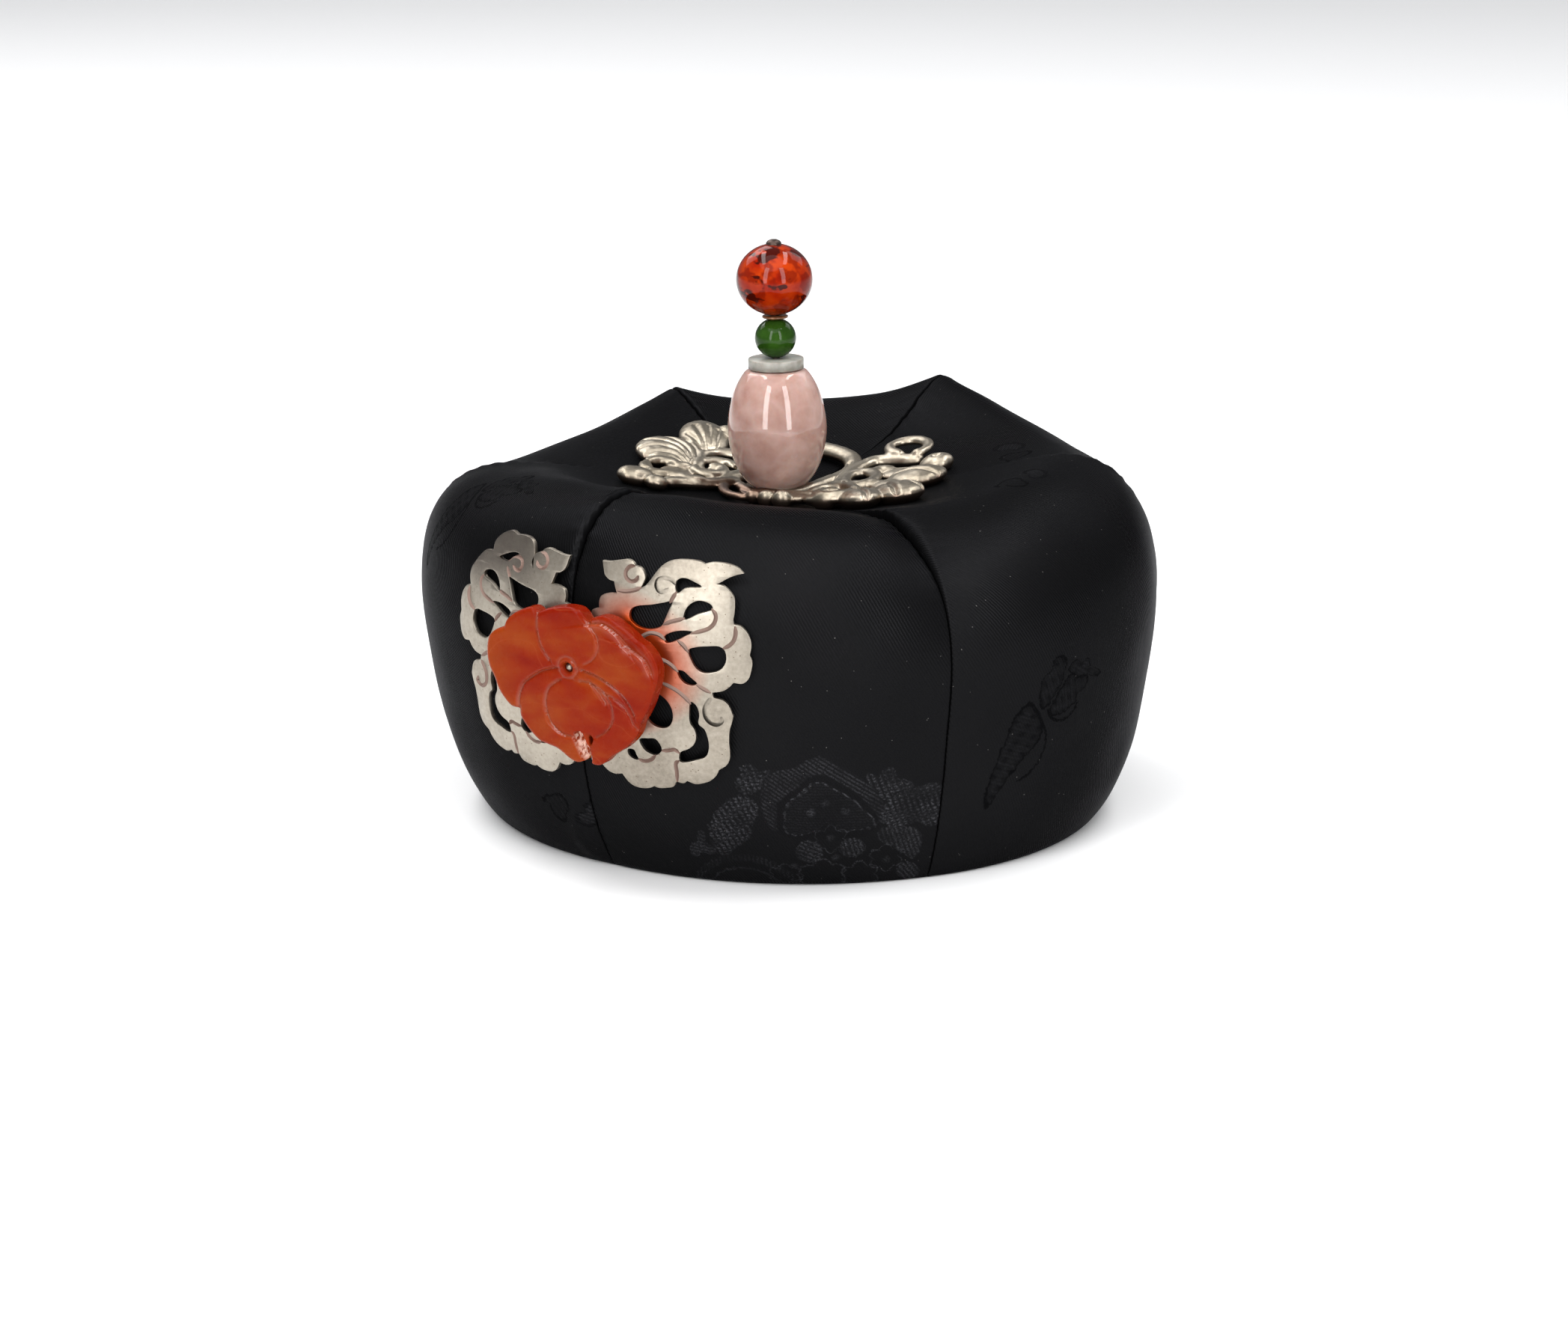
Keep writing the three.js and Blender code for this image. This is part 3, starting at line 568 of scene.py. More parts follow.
# %% [markdown]
# ## The woven figures
# One large figure sits low on the front gore: a pointed fruit in a ribbed husk, with blossoms and leaves
# around it, cut off by the seam and the hem. A long-tailed butterfly lies on the gore beside it. The
# weaver repeats both over the cloth, so the gores at the back show them too, in other places.

# %% Fruit and butterfly
HUSK = ((13, 35), (17, 32.5), (21.5, 29), (25, 25.5), (27, 20.5), (26.5, 16), (14, 14), (3, 17), (0.5, 22),
        (0.5, 27), (2.5, 31), (7.5, 32.5))
HUSK_INSIDE = ((13, 30.8), (17, 28.6), (21, 25.2), (24, 21.5), (25.6, 16.5), (14, 13), (4.5, 15), (3.4, 20),
               (4, 24.5), (7.5, 27.5))
FRUIT = ((12.5, 29), (16, 27), (20, 24), (23, 20.3), (25, 16.6), (21, 16), (17, 16), (14.5, 18.6), (12, 17),
         (9.5, 15.8), (6, 16), (5, 20), (6, 24), (9, 26.6))
# Bright leaves and blossoms, with the direction of their threads.
BRIGHT = (
    (40, ((-4, 26), (-1, 25), (0, 23), (-1, 19), (-2, 15), (-5, 12), (-8, 9), (-10, 11), (-11, 15), (-10, 20),
          (-7, 24))),
    (70, ((-5, 28.5), (-4, 32), (-2.6, 31), (-1, 33), (0.4, 31.4), (2.6, 32), (1.4, 29.6), (0, 27),
          (-3, 26))),
    (20, ((23, 30), (25.4, 28.6), (28, 30.6), (30, 27.4), (33.4, 25), (29.4, 24.4), (27, 22.6), (25, 25.6))),
    (10, ((26, 20), (28, 23), (33, 24.4), (40, 24), (42, 20), (38, 14), (34, 16), (30, 15.4), (27, 16.4))),
)
RIBBED = (
    (15, ((25, 15), (30, 15.6), (34.6, 13.6), (35, 9), (33, 6), (31, 8), (28.6, 10.6), (26, 12))),
    (60, ((10.3, 14.4), (12.6, 13.4), (13.4, 11), (12.6, 8.8), (10.3, 7.8), (8.2, 8.8), (7.4, 11),
          (8.2, 13.4))),
    (10, ((19.4, 14.2), (21.6, 13.2), (22.6, 11.2), (21.6, 9.4), (19.4, 8.6), (17.4, 9.6), (16.6, 11.6),
          (17.4, 13.4))),
    (80, ((-15.4, 11), (-13.6, 13), (-12.6, 16.4), (-11.8, 13), (-9.6, 10), (-12.4, 9.6), (-14.6, 8))),
    (30, ((29, 3), (30, 5), (32, 5.6), (34, 4), (34.6, 1.6), (32, 0), (30, 1))),
)
SPOTS = ((14, 23.4), (11, 21.4), (18.4, 21), (15, 14.6), (27, 7), (16, 9), (7, 7))
OPEN_BLOSSOMS = ((15, 14.2, 3.4), (27, 7.4, 3.6), (13, 3.5, 5), (21, 3, 4), (5, 4, 3.2))


def fruit_figure(look, x, y):
    """Light and dark threads of the fruit with its leaves."""
    husk, husk_inside, fruit = (woven_shape(look, x, y, line) for line in (HUSK, HUSK_INSIDE, FRUIT))
    husk_band = inside(husk) * (1 - inside(husk_inside)) * (y > 17)
    light = husk_band * ribs_of(x, y, 52, 0.8) * 0.45 + on_rim(fruit, 0.055) * ribs_of(x, y, 20, 1.5) * 0.9
    light = light + inside(fruit) * ribs_of(x, y, 85, 0.7) * 0.14
    dots = ribs_of(x, y, 20, 1.2) * ribs_of(x, y, 100, 0.9)
    for degrees, line in BRIGHT:
        leaf = inside(woven_shape(look, x, y, line))
        light = light + leaf * (dots * 0.9 + ribs_of(x, y, degrees, 1.3) * 0.25)
    for degrees, line in RIBBED:
        light = light + inside(woven_shape(look, x, y, line)) * (ribs_of(x, y, degrees, 1.0) * 0.5 + 0.1)
    for across, up in SPOTS:
        light = light + (1.15 - away(x - across, y - up)).kept() * 0.8
    arcs = woven_arc(x, y, (-3.6, -1.5), 10.6, 1.2) * ribs_of(x, y, 0, 0.9) * 0.25
    arcs = arcs + woven_arc(x, y, (-3.6, -1.5), 7.4, 0.35) * 0.3
    for across, up, size in OPEN_BLOSSOMS:
        dx, dy = x - across, y - up
        lobes = (dy.math("ARCTAN2", dx) * 3).math("SINE").math("ABSOLUTE") * 1.3 + (size - 0.7)
        arcs = arcs + on_rim(away(dx, dy) / lobes, 0.09) * 0.45
    return light + arcs * (y < 18), inside(husk) * inside(husk_inside) * 0.16


TAIL_WING = ((-29.5, 16.5), (-30.6, 23), (-29.6, 28), (-28.6, 32), (-28, 35), (-27.4, 38), (-26, 40),
             (-24, 41.6), (-22, 40), (-20.4, 38), (-19, 34.6), (-20, 31), (-23, 28), (-26, 24), (-28, 20))
LEFT_WING = ((-21.4, 41), (-21.6, 44), (-21, 46.6), (-19, 48), (-18, 50.4), (-16, 50.8), (-14.2, 49),
             (-15, 47), (-16.6, 43), (-18, 41), (-20, 39))
RIGHT_WING = ((-18.4, 38), (-17, 41), (-15, 44), (-13, 46), (-10, 45), (-7, 44.6), (-7, 42.4), (-9.6, 41),
              (-10, 39.2), (-13, 37.6), (-16, 37))
FEELER = ((-14, 47), (-11.4, 49), (-9.6, 47.8), (-7.4, 48.6), (-6, 46.4), (-2, 44), (-7, 44.8), (-12, 45.8))


def butterfly_figure(look, x, y):
    """Dark outlined wings with a little light thread in them."""
    light, dark = 0.0, 0.0
    for line, degrees in ((TAIL_WING, 70), (LEFT_WING, 25), (RIGHT_WING, 15), (FEELER, 60)):
        wing = woven_shape(look, x, y, line)
        veins = ribs_of(x, y, degrees, 2.1) * ribs_of(x, y, degrees + 80, 3.4)
        dark = inside(wing, 0.03) * (0.25 + veins * 0.6) + on_rim(wing, 0.1) * 0.9 + dark
        light = inside(wing + 0.2) * ribs_of(x, y, degrees, 0.9) * 0.14 + light
    dark = dark + woven_arc(x, y, (-25.6, 30.6), 8.0, 0.35) * (x > -23.6) * (y < 36.4)
    return light, dark + woven_arc(x, y, (-14, 40.6), 5.0, 0.4) * (y < 39)


def blossom_figure(look, x, y):
    """A small blossom with a pair of leaves, dark in the satin."""
    petals = (y.math("ARCTAN2", x) * 2.5).math("SINE") * 0.9 + 3.6
    bloom = away(x, y) / petals
    leaves = woven_shape(look, x, y, ((4, -2), (7, 0), (10, 3), (12, 2), (11, -2), (8, -4), (5, -4)))
    dark = on_rim(bloom, 0.2) * 0.8 + inside(bloom) * ribs_of(x, y, 30, 1.6) * 0.4 + on_rim(leaves, 0.3) * 0.8
    return inside(leaves) * ribs_of(x, y, 60, 1.0) * 0.25, dark


# %% [markdown]
# ## The silk itself
# The base is nearly black. The figures lift or sink the colour a little, change the gloss and press into
# the bump, as threads do that lie another way. A few pale specks are the dust that every old silk holds.

# %% Silk
TWILL_PITCH = 0.6
TWILL_SLOPE = math.radians(-60)


def silk_look(name, figures):
    """figures holds rows of: a figure, its shift across and up in mm, and 1 or -1 to mirror it."""
    look = Look(name, Metallic=0.6, Specular_IOR_Level=0.02, Specular_Tint=rgb(165, 165, 168))
    cloth = look.add("ShaderNodeUVMap", {"uv_map": "cloth"})
    jag = (look.cloud(cloth, 0.9, 2) - 0.5) * 1.3
    x, y = look.millimetres(cloth, "XY")
    fibre = look.cloud(cloth, 1.1, 3)
    shade = look.cloud(cloth, 26, 2)
    ribs = ((x * math.sin(TWILL_SLOPE) - y * math.cos(TWILL_SLOPE)) * (math.tau / TWILL_PITCH)
            + fibre * 3).math("SINE")
    dust = (look.specks(cloth, 2.2) < 0.05) * (look.cloud(cloth, 9, 1) > 0.47)
    base = look.mix(shade, rgb(19, 19, 20), rgb(24, 24, 25))
    gloss = 0.43 - shade * 0.12 + fibre * 0.08
    height = ribs * 0.5 + fibre * 0.8
    light, dark = 0.0, 0.0
    for figure, right, up, side in figures:
        more_light, more_dark = figure(look, (x - right) * side + jag, y - up - jag)
        light, dark = more_light + light, more_dark + dark
    grit = look.cloud(cloth, 0.45, 1)
    worn = (look.cloud(cloth, 6, 2) * 4 - 1.2).kept(0.4)
    light = (light * worn * (grit * 6 - 2.3).kept(0.15)).kept()
    dark = (dark * (grit * 4 - 0.9).kept(0.4)).kept()
    base = look.mix(dark * 0.75, look.mix(light, base, rgb(63, 63, 66)), rgb(6, 6, 7))
    gloss = gloss - light * 0.10 + dark * 0.2
    height = height + light * 1.5 - dark * 1.0
    look.feed("Base Color", look.mix(dust, base, rgb(92, 90, 88)))
    look.feed("Roughness", gloss)
    look.feed("Normal", look.bump(height, 0.07, 0.6))
    return look.material


FIGURES = {
    "gore_front_right": ((fruit_figure, 0, 0, 1),),
    "gore_right": ((butterfly_figure, 0, 0, 1), (blossom_figure, 2, 98, 1)),
    "gore_back_right": ((fruit_figure, -8, 14, -1), (blossom_figure, -20, 104, 1)),
    "gore_back_left": ((butterfly_figure, -4, 6, -1), (blossom_figure, 18, 84, -1)),
    "gore_left": ((fruit_figure, 4, 44, 1), (blossom_figure, -20, 18, 1)),
    "gore_front_left": ((blossom_figure, 30, 16, 1), (butterfly_figure, 14, 44, 1)),
}
for gore, name in enumerate(GORES):
    silk = silk_look("silk_" + name.removeprefix("gore_"), FIGURES[name])
    piece = finish_piece("silk_" + name, padded_gore(gore), CROWN, silk)
    settle(piece, "silk", name)

# %% [markdown]
# ## Flat outlines for the silver plate and the flower
# Both were sawn from flat stock, so both start as a flat closed line with holes. The line is a chain of
# strokes, each one smooth curve, that meet in corners. Blender's 2D curve fills such lines, holes and
# all, and gives the sheet its thickness and a small rounded edge.

# %% Strokes, outlines and sheets
def stroke_outline(strokes, cuts=6):
    """One closed line through strokes that meet in corners."""
    return np.vstack([smooth_line(stroke, cuts)[:-1] for stroke in strokes])


def drill_hole(radius, steps=24):
    """A circle about the origin, for a hole in a sheet."""
    turns = np.arange(steps) * math.tau / steps
    return radius * np.array([(math.cos(turn), math.sin(turn)) for turn in turns])


def draw_line(curve, path, level=0, closed=False):
    """Adds a line of points in x and y to a curve, at one level."""
    spline = curve.splines.new("POLY")
    spline.points.add(len(path) - 1)
    flat = np.ones(len(path))
    spline.points.foreach_set("co", np.column_stack([path, level * flat, flat]).ravel())
    spline.use_cyclic_u = closed
    return spline


def worked(holder):
    """The final mesh of an object that only stood in for a while, as a bmesh."""
    mesh = bpy.data.meshes.new_from_object(holder.evaluated_get(bpy.context.evaluated_depsgraph_get()))
    bpy.data.objects.remove(holder)
    shape = bmesh.new()
    shape.from_mesh(mesh)
    return shape


def sealed(shape, gap):
    """Merges points that are nearer than the gap, and turns the faces outwards."""
    bmesh.ops.remove_doubles(shape, verts=shape.verts, dist=gap)
    bmesh.ops.recalc_face_normals(shape, faces=shape.faces)
    return shape


def filled_sheet(name, lines, thick, round_edge, steps):
    """A flat sheet in x and y with holes, as a bmesh, its thickness along z about 0."""
    flat = bpy.data.curves.new(name, "CURVE")
    flat.dimensions, flat.fill_mode = "2D", "BOTH"
    flat.extrude = thick / 2 - round_edge
    flat.bevel_depth, flat.offset, flat.bevel_resolution = round_edge, -round_edge, steps
    for line in lines:
        draw_line(flat, line, closed=True)
    return sealed(worked(into_scene(name, flat)), 0.002)


# Right wing of the plate from its middle, over the top, to the middle below: along the sheet, and up.
WING_TOP = (
    ((0, 56.5), (1.2, 59.2), (2.4, 60.9)),
    ((2.4, 60.9), (2.7, 61.9), (4.3, 62.5)),
    ((4.3, 62.5), (4.2, 63.7), (4.6, 65), (6.2, 65.7), (8.3, 65.9)),
    ((8.3, 65.9), (7.8, 67.1), (7.4, 68.3)),
    ((7.4, 68.3), (6.3, 68.5), (5.1, 69.4), (4.6, 70.7), (4.2, 72.2)),
    ((4.2, 72.2), (5.8, 72.2), (8, 72.6), (10.4, 73), (11.6, 72.5), (12.1, 71.9)),
    ((12.1, 71.9), (13.4, 71.6), (14.3, 70.6), (14.6, 69.6), (14.2, 68.5), (13.7, 67.5)),
)
# The hook of the right wing stands out, and the one of the left wing is bent in and round.
HOOK_OUT = (
    ((13.7, 67.5), (15, 68.4), (16.9, 71), (18.1, 72.4), (19.5, 73.3), (22, 73.9), (26.3, 73.8),
     (27.6, 73.3)),
    ((27.6, 73.3), (29.2, 73.7), (31.2, 73.7), (33.1, 73.4), (34.9, 72.7), (36, 71.7)),
    ((36, 71.7), (34.3, 71.3), (32.6, 70.6), (31.2, 69.8), (30.4, 69.4)),
    ((30.4, 69.4), (31.8, 69.1), (33.1, 68.1), (34.1, 66.8), (34.3, 65)),
    ((34.3, 65), (34.2, 63.6), (34, 62), (34.2, 61.3)),
)
HOOK_ROUND = (
    ((13.7, 67.5), (14, 71), (14.4, 72.8), (15.3, 73.9), (17.1, 74.5), (20.2, 74.4)),
    ((20.2, 74.4), (21.9, 74.9), (24.3, 74.2), (26.5, 72.7), (27.2, 71.5), (27.3, 69.9)),
    ((27.3, 69.9), (29.8, 69.6), (31.5, 68.4), (33.4, 66.4), (34.5, 64.9), (34.8, 63.2), (34.2, 61.3)),
)
WING_LOW = (
    ((34.2, 61.3), (35.5, 61), (36.7, 60), (37.5, 58.6), (37.8, 56.9), (37.5, 55)),
    ((37.5, 55), (38, 53.6), (37.8, 51.7), (37.2, 49.9), (36, 48.9), (34.1, 49)),
    ((34.1, 49), (33.2, 48), (31.8, 47.1), (29.7, 46.7)),
    ((29.7, 46.7), (30, 45.7), (31.8, 45.2), (33, 44.2), (34, 41.8)),
    ((34, 41.8), (33.7, 40.3), (33.2, 38.6), (33, 36.2), (33.1, 33.7), (33, 32.1), (32.3, 30.6),
     (30.6, 29.4)),
    ((30.6, 29.4), (29.9, 28), (28.5, 26.7), (26.8, 26), (25.1, 25.7), (23.3, 26.3)),
    ((23.3, 26.3), (22.6, 25.7), (20.9, 25.9)),
    ((20.9, 25.9), (20.1, 24.7), (18.4, 24.2), (16.6, 24), (15.6, 24.3)),
    ((15.6, 24.3), (14.3, 23.7), (12.4, 23.5), (10.7, 23.8), (9.4, 24.7), (8.2, 26.4)),
    ((8.2, 26.4), (6.5, 26.1), (4.9, 26.6), (3.7, 27.7)),
    ((3.7, 27.7), (3, 29.6), (3.6, 32), (5.6, 34.6), (5.2, 37.6), (0, 38.6)),
)
ARCH_OUT = ((21.5, 69.3), (22.4, 70.1), (23.7, 70.2), (25.2, 69.7), (27.1, 68.7), (23.5, 68.2), (21.9, 67.1))
ARCH_ROUND = ((24.9, 68.9), (22.8, 69.9), (20, 70.7), (18.6, 70.5), (20.8, 69.5), (22, 68.5))
WING_OPENINGS = (
    ((11.8, 62.9), (13, 63.7), (16.3, 64.3), (18.8, 64.9), (20.9, 65.3), (20.3, 63.7), (19.4, 61.5),
     (18.8, 60.2), (17.5, 59.5), (15.5, 59.2), (13.5, 59.6), (11.9, 60.7), (11.5, 61.7)),
    ((23.6, 61.8), (23.7, 63.4), (24.8, 65), (26.4, 65.8), (28, 65.7), (29.3, 65.1), (29.6, 64.3),
     (26.5, 63.1)),
    ((19.4, 57.9), (21.1, 59), (23.7, 59.5), (25.5, 59.3), (23.9, 58.4), (22.3, 57.5), (19.9, 56.7)),
    ((24.7, 55.5), (26.3, 56.2), (28.7, 56.5), (31, 56.6), (32.1, 56), (32.6, 54.5), (32.3, 52.9),
     (31.2, 51.6), (29.5, 51), (27.9, 50.9), (26.5, 51.6), (25.4, 53.2)),
    ((22.3, 51), (23.5, 51), (25, 49.8), (26.5, 48.4), (25.4, 48), (23.9, 48.4), (22.8, 49.5)),
    ((17.7, 45.8), (18.8, 45.2), (20.1, 44), (21, 42.1), (21, 40.1), (20.1, 38.6), (18.7, 38.1), (17.1, 38.4),
     (15.6, 39.6), (15.1, 41.6), (15.8, 44)),
    ((25.1, 44.4), (26.2, 43.7), (26.8, 41.8), (26.6, 39.6), (27.8, 38.5), (28.5, 36.3), (28.6, 34.3),
     (27.9, 32.4), (25.7, 31.4), (22.2, 30.7), (22.3, 32.8), (24.2, 33.8), (25.4, 34.9), (26, 36.7),
     (25.7, 38.3), (24.8, 39.8), (24.7, 41.6)),
    ((13.3, 35), (15.2, 35.4), (17, 35.4), (18.2, 33.1), (16.9, 31.8), (15.4, 32), (14.1, 32.9)),
    ((10.4, 32.4), (11.8, 32.4), (12.2, 31.4), (12.6, 30.3), (11.2, 30.4), (10.3, 31.4)),
)
FLOWER_HEIGHT = 50.2
MIRROR = np.array((-1, 1))

right_wing = stroke_outline(WING_TOP + HOOK_OUT + WING_LOW)
left_wing = (stroke_outline(WING_TOP + HOOK_ROUND + WING_LOW) * MIRROR)[::-1]
pin_hole = drill_hole(1.2) + (0, FLOWER_HEIGHT)
right_openings, left_openings = ([smooth_line(line, 4, closed=True) for line in (arch, *WING_OPENINGS)]
                                 for arch in (ARCH_OUT, ARCH_ROUND))
plate_lines = [np.vstack([right_wing, left_wing[:-1]]), pin_hole, *right_openings,
               *(line * MIRROR for line in left_openings)]
SHEET = 1.0
plate = filled_sheet("plate", plate_lines, SHEET, 0.13, 1)
print("sheet before engraving:", len(plate.faces), "faces")

# %% [markdown]
# ## Engraved lines
# The silversmith drew the veins and curls with a graver, which leaves a V-shaped furrow that runs out at
# both ends. The same cut is made here: thin square rods, on edge and thinned to their ends, lie on the
# face of the sheet and are taken out of it. The walls of the cut keep their own material, so the dark
# tarnish in them needs no painting.

# %% Engrave the sheet
GROOVES = (
    ((12.1, 71.9), (10.8, 71.6), (10, 70.5), (10.3, 69.3), (11.4, 68.7), (12.6, 69.1), (13, 70)),
    ((8.4, 66.5), (10.7, 66.6), (12.7, 67.1), (13.9, 67.7)),
    ((21.7, 68.6), (20.6, 69.7), (19, 70), (17.5, 69.5), (17.2, 68.3), (18, 67.2), (19.1, 67.3), (20.1, 68)),
    ((21.8, 67.4), (21, 66.1), (20.4, 65)),
    ((19.1, 60.4), (20.6, 61.1), (22.2, 61.6), (23.8, 62.1)),
    ((29.4, 64.4), (30.3, 63.1), (30.1, 61.6), (29.1, 60.4), (27.5, 59.7), (25.1, 59)),
    ((34.4, 61), (34.5, 59.3), (34.1, 57.9), (33.2, 56.9), (31.9, 56.2)),
    ((19.7, 57.2), (18.4, 58.2), (16.6, 58.5), (14.9, 57.8), (13.6, 56.6)),
    ((22.3, 57.4), (23.6, 56.4), (24.7, 55)),
    ((17.3, 53.2), (19.4, 52.9), (21.1, 52), (22.5, 50.7)),
    ((26.3, 48.3), (27.9, 47.4), (29.4, 46.6)),
    ((18.7, 48.2), (20.7, 47.4), (22.4, 46.5), (24, 45.2), (25.1, 43.9)),
    ((29.5, 45.6), (28.8, 44.7), (28, 43), (28.2, 41.2), (29.1, 40.1), (30.5, 39.7), (31.6, 40.5),
     (31.5, 41.6)),
    ((18, 32.9), (19.7, 33.1), (21.1, 33.4), (22.2, 32.6)),
    ((22, 31), (21.2, 30.3), (21.2, 28.2), (21.1, 25.7)),
    ((12.5, 30.4), (14, 30.1), (15.6, 30.6), (16.9, 32)),
)


def round_rods(name, half_width, rows, sides, cuts, thin_end, growth):
    """Rods along flat lines as a bmesh. A row is a factor on the half width, a level and a line.
    Each rod is thin at both ends and grows by the same step from point to point up to its full width."""
    rods = bpy.data.curves.new(name, "CURVE")
    rods.dimensions, rods.use_fill_caps = "3D", True
    rods.bevel_depth, rods.bevel_resolution = half_width, sides
    for factor, level, line in rows:
        path = smooth_line(line, cuts)
        from_end = np.minimum(np.arange(len(path)), np.arange(len(path))[::-1])
        widths = factor * np.minimum(1, thin_end + growth * from_end)
        draw_line(rods, path, level).points.foreach_set("radius", widths)
    return sealed(worked(into_scene(name, rods)), 0.001)


def stock_of(shape, *finishes):
    """An object made from a bmesh, to be worked on with modifiers."""
    mesh = bpy.data.meshes.new("stock")
    shape.to_mesh(mesh)
    shape.free()
    for finish in finishes:
        mesh.materials.append(finish)
    return into_scene("stock", mesh)


def carve(shape, rods, face_finish, cut_finish):
    """Takes the rods out of the shape. Its faces get one material and the cuts the other."""
    stock, cutter = stock_of(shape, face_finish, cut_finish), stock_of(rods, cut_finish)
    cut = stock.modifiers.new("cut", "BOOLEAN")
    cut.operation, cut.solver, cut.object = "DIFFERENCE", "EXACT", cutter
    cut.material_mode = "TRANSFER"
    carved = worked(stock)
    bpy.data.objects.remove(cutter)
    return carved


def silver_look(name, bright, dull, rough, pits, painted_light_and_tint):
    """Worn silver alloy: warm grey, cloudy, with fine scratches and small pits."""
    look = Look(name, Metallic=1.0, Emission_Strength=0.16, Emission_Color=rgb(0, 0, 0))
    here = look.place()
    haze = look.cloud(here, 14, 3)
    fine = look.cloud(here, 0.9, 4, 0.6)
    scratch = look.cloud(look.place(scale=(1, 1, 9), turn=(0.4, 0.3, 0.5)), 1.6, 2)
    pit = look.specks(here, 1.5) < pits
    share = look.ramp(haze * 0.6 + fine * 0.4, (0.36, 0.0), (0.64, 1.0))
    metal = look.mix(pit * 0.7, look.mix(share, bright, dull), rgb(96, 78, 66))
    # The last step paints light and shade into the metal's colour, as each piece needs them.
    look.feed("Base Color", painted_light_and_tint(look, here, haze, metal))
    look.feed("Roughness", rough + haze * 0.16 + fine * 0.10 - 0.08)
    look.feed("Normal", look.bump(fine * 0.6 + scratch * 0.5 - pit * 1.0, 0.04, 0.5))
    return look.material


def round_the_flower(look, here, haze, metal):
    """The warm light that the stone throws on the sheet beside it, and the darker left wing."""
    x, z = look.millimetres(here, "XZ")
    glow = ((1 - away((x - 7) / 27, (z - FLOWER_HEIGHT - 1) / 17.5)) / 0.34).kept() * ((x - 7) / 9).kept()
    shade = ((z - 61) / 7).kept() * ((-4 - x) / 8).kept()
    metal = look.mix(shade * (0.45 + haze * 0.5), metal, rgb(90, 82, 76))
    look.feed("Emission Color", look.mix(glow, rgb(0, 0, 0), rgb(190, 62, 14)))
    return look.mix(glow, metal, rgb(158, 62, 24))


sheet_silver = silver_look("sheet_silver", rgb(169, 161, 148), rgb(136, 128, 116), 0.37, 0.10,
                           round_the_flower)
tarnish = Look("tarnish_in_grooves", Metallic=0.5, Roughness=0.6, Base_Color=rgb(122, 100, 90)).material
furrows = [(1, SHEET / 2, np.array(line) * side) for side in ((1, 1), MIRROR) for line in GROOVES]
graver = round_rods("graver", 0.45, furrows, sides=0, cuts=5, thin_end=0.35, growth=0.22)
plate = carve(plate, graver, sheet_silver, tarnish)
print("engraved sheet:", len(plate.faces), "faces")

# %% [markdown]
# ## Bend the sheet round the crown
# The pierced flat plate was bent over the swelling silk. To bend a mesh it needs points to bend at, so
# planes slice it every few millimetres first. Each point then goes from flat to bent: its distance
# along the sheet becomes a turn, and the sheet leans back above and below the belly.

# %% Bend
SHEET_RADIUS, SHEET_BELLY, SHEET_BEND = 83.8, 50, 0.0055


def slice_up(shape, axis, low, high, step):
    """Cuts a sheet across every few millimetres, so that it can bend there."""
    way = Vector((axis == 0, axis == 1, 0))
    for level in np.arange(low, high, step):
        parts = shape.verts[:] + shape.edges[:] + shape.faces[:]
        bmesh.ops.bisect_plane(shape, geom=parts, plane_co=way * level, plane_no=way, dist=1e-4)


slice_up(plate, 0, -36, 37, 3)
slice_up(plate, 1, 25, 75, 3)
for point in plate.verts:
    along, up, out = point.co
    turn = along / SHEET_RADIUS
    r = SHEET_RADIUS - SHEET_BEND * (up - SHEET_BELLY) ** 2 + SHEET / 2 + out
    point.co = (r * math.sin(turn), -r * math.cos(turn), up)
bmesh.ops.recalc_face_normals(plate, faces=plate.faces)
front_plate = finish_piece("silver_plate", plate, FRONT, sharp=35)
front_plate.data.materials.append(sheet_silver)
front_plate.data.materials.append(tarnish)
settle(front_plate, "sheet_silver", "front_plate")

# %% [markdown]
# ## The carnelian flower
# The lapidary sawed the outline, rounded the rim and then cut petals into the face with a wheel. The
# outline comes from strokes as before. The face is then remeshed into even small cells, and each cell
# is lowered by how near it lies to a carved line, and raised where a petal swells.

# %% Carve the flower
FLOWER = (
    ((4.8, 10.3), (5.9, 11.3), (8.1, 12), (10.3, 11.8), (13, 10.5), (15.5, 9), (16.9, 7.9)),
    ((16.9, 7.9), (18.6, 7.1), (20, 5.8), (21.1, 4.3), (21.8, 2.3), (21.7, 0.2), (21.3, -1.4)),
    ((21.3, -1.4), (20.6, -3.5), (19.7, -5.8), (18.6, -7.9), (17.4, -9.9)),
    ((17.4, -9.9), (16.7, -12.1), (15.2, -14.1), (13.7, -15.5), (11.8, -16.8), (9.8, -18.2), (8.4, -19.6),
     (7, -20.3), (5.5, -20.2), (4.9, -19.2)),
    ((4.9, -19.2), (4.9, -18), (5.2, -16.4), (5.7, -15), (5.2, -14.2), (4.6, -14.2)),
    ((4.6, -14.2), (4.8, -15.4), (4.9, -16.8), (4.5, -18.4), (4.4, -19)),
    ((4.4, -19), (3.4, -19.8), (1.7, -20.4), (0, -20), (-1.7, -19), (-3.4, -18.1), (-5.7, -17.6),
     (-7.8, -17.1), (-9.7, -15.7), (-11.4, -14), (-12.7, -12.3), (-13, -10.7)),
    ((-13, -10.7), (-14.9, -10.5), (-16.7, -9.1), (-18.2, -7.2), (-19.3, -4.7), (-20.6, -2.4), (-21.1, 0),
     (-21, 2.4), (-20.4, 4.1), (-18.6, 5.7), (-16.5, 6.6)),
    ((-16.5, 6.6), (-15.7, 8.2), (-13.7, 9.9), (-11.2, 11.2), (-9.1, 11.7), (-7.6, 10.9)),
    ((-7.6, 10.9), (-5.7, 11.8), (-3, 12.6), (0, 13), (2.6, 12.6), (4.8, 10.3)),
)
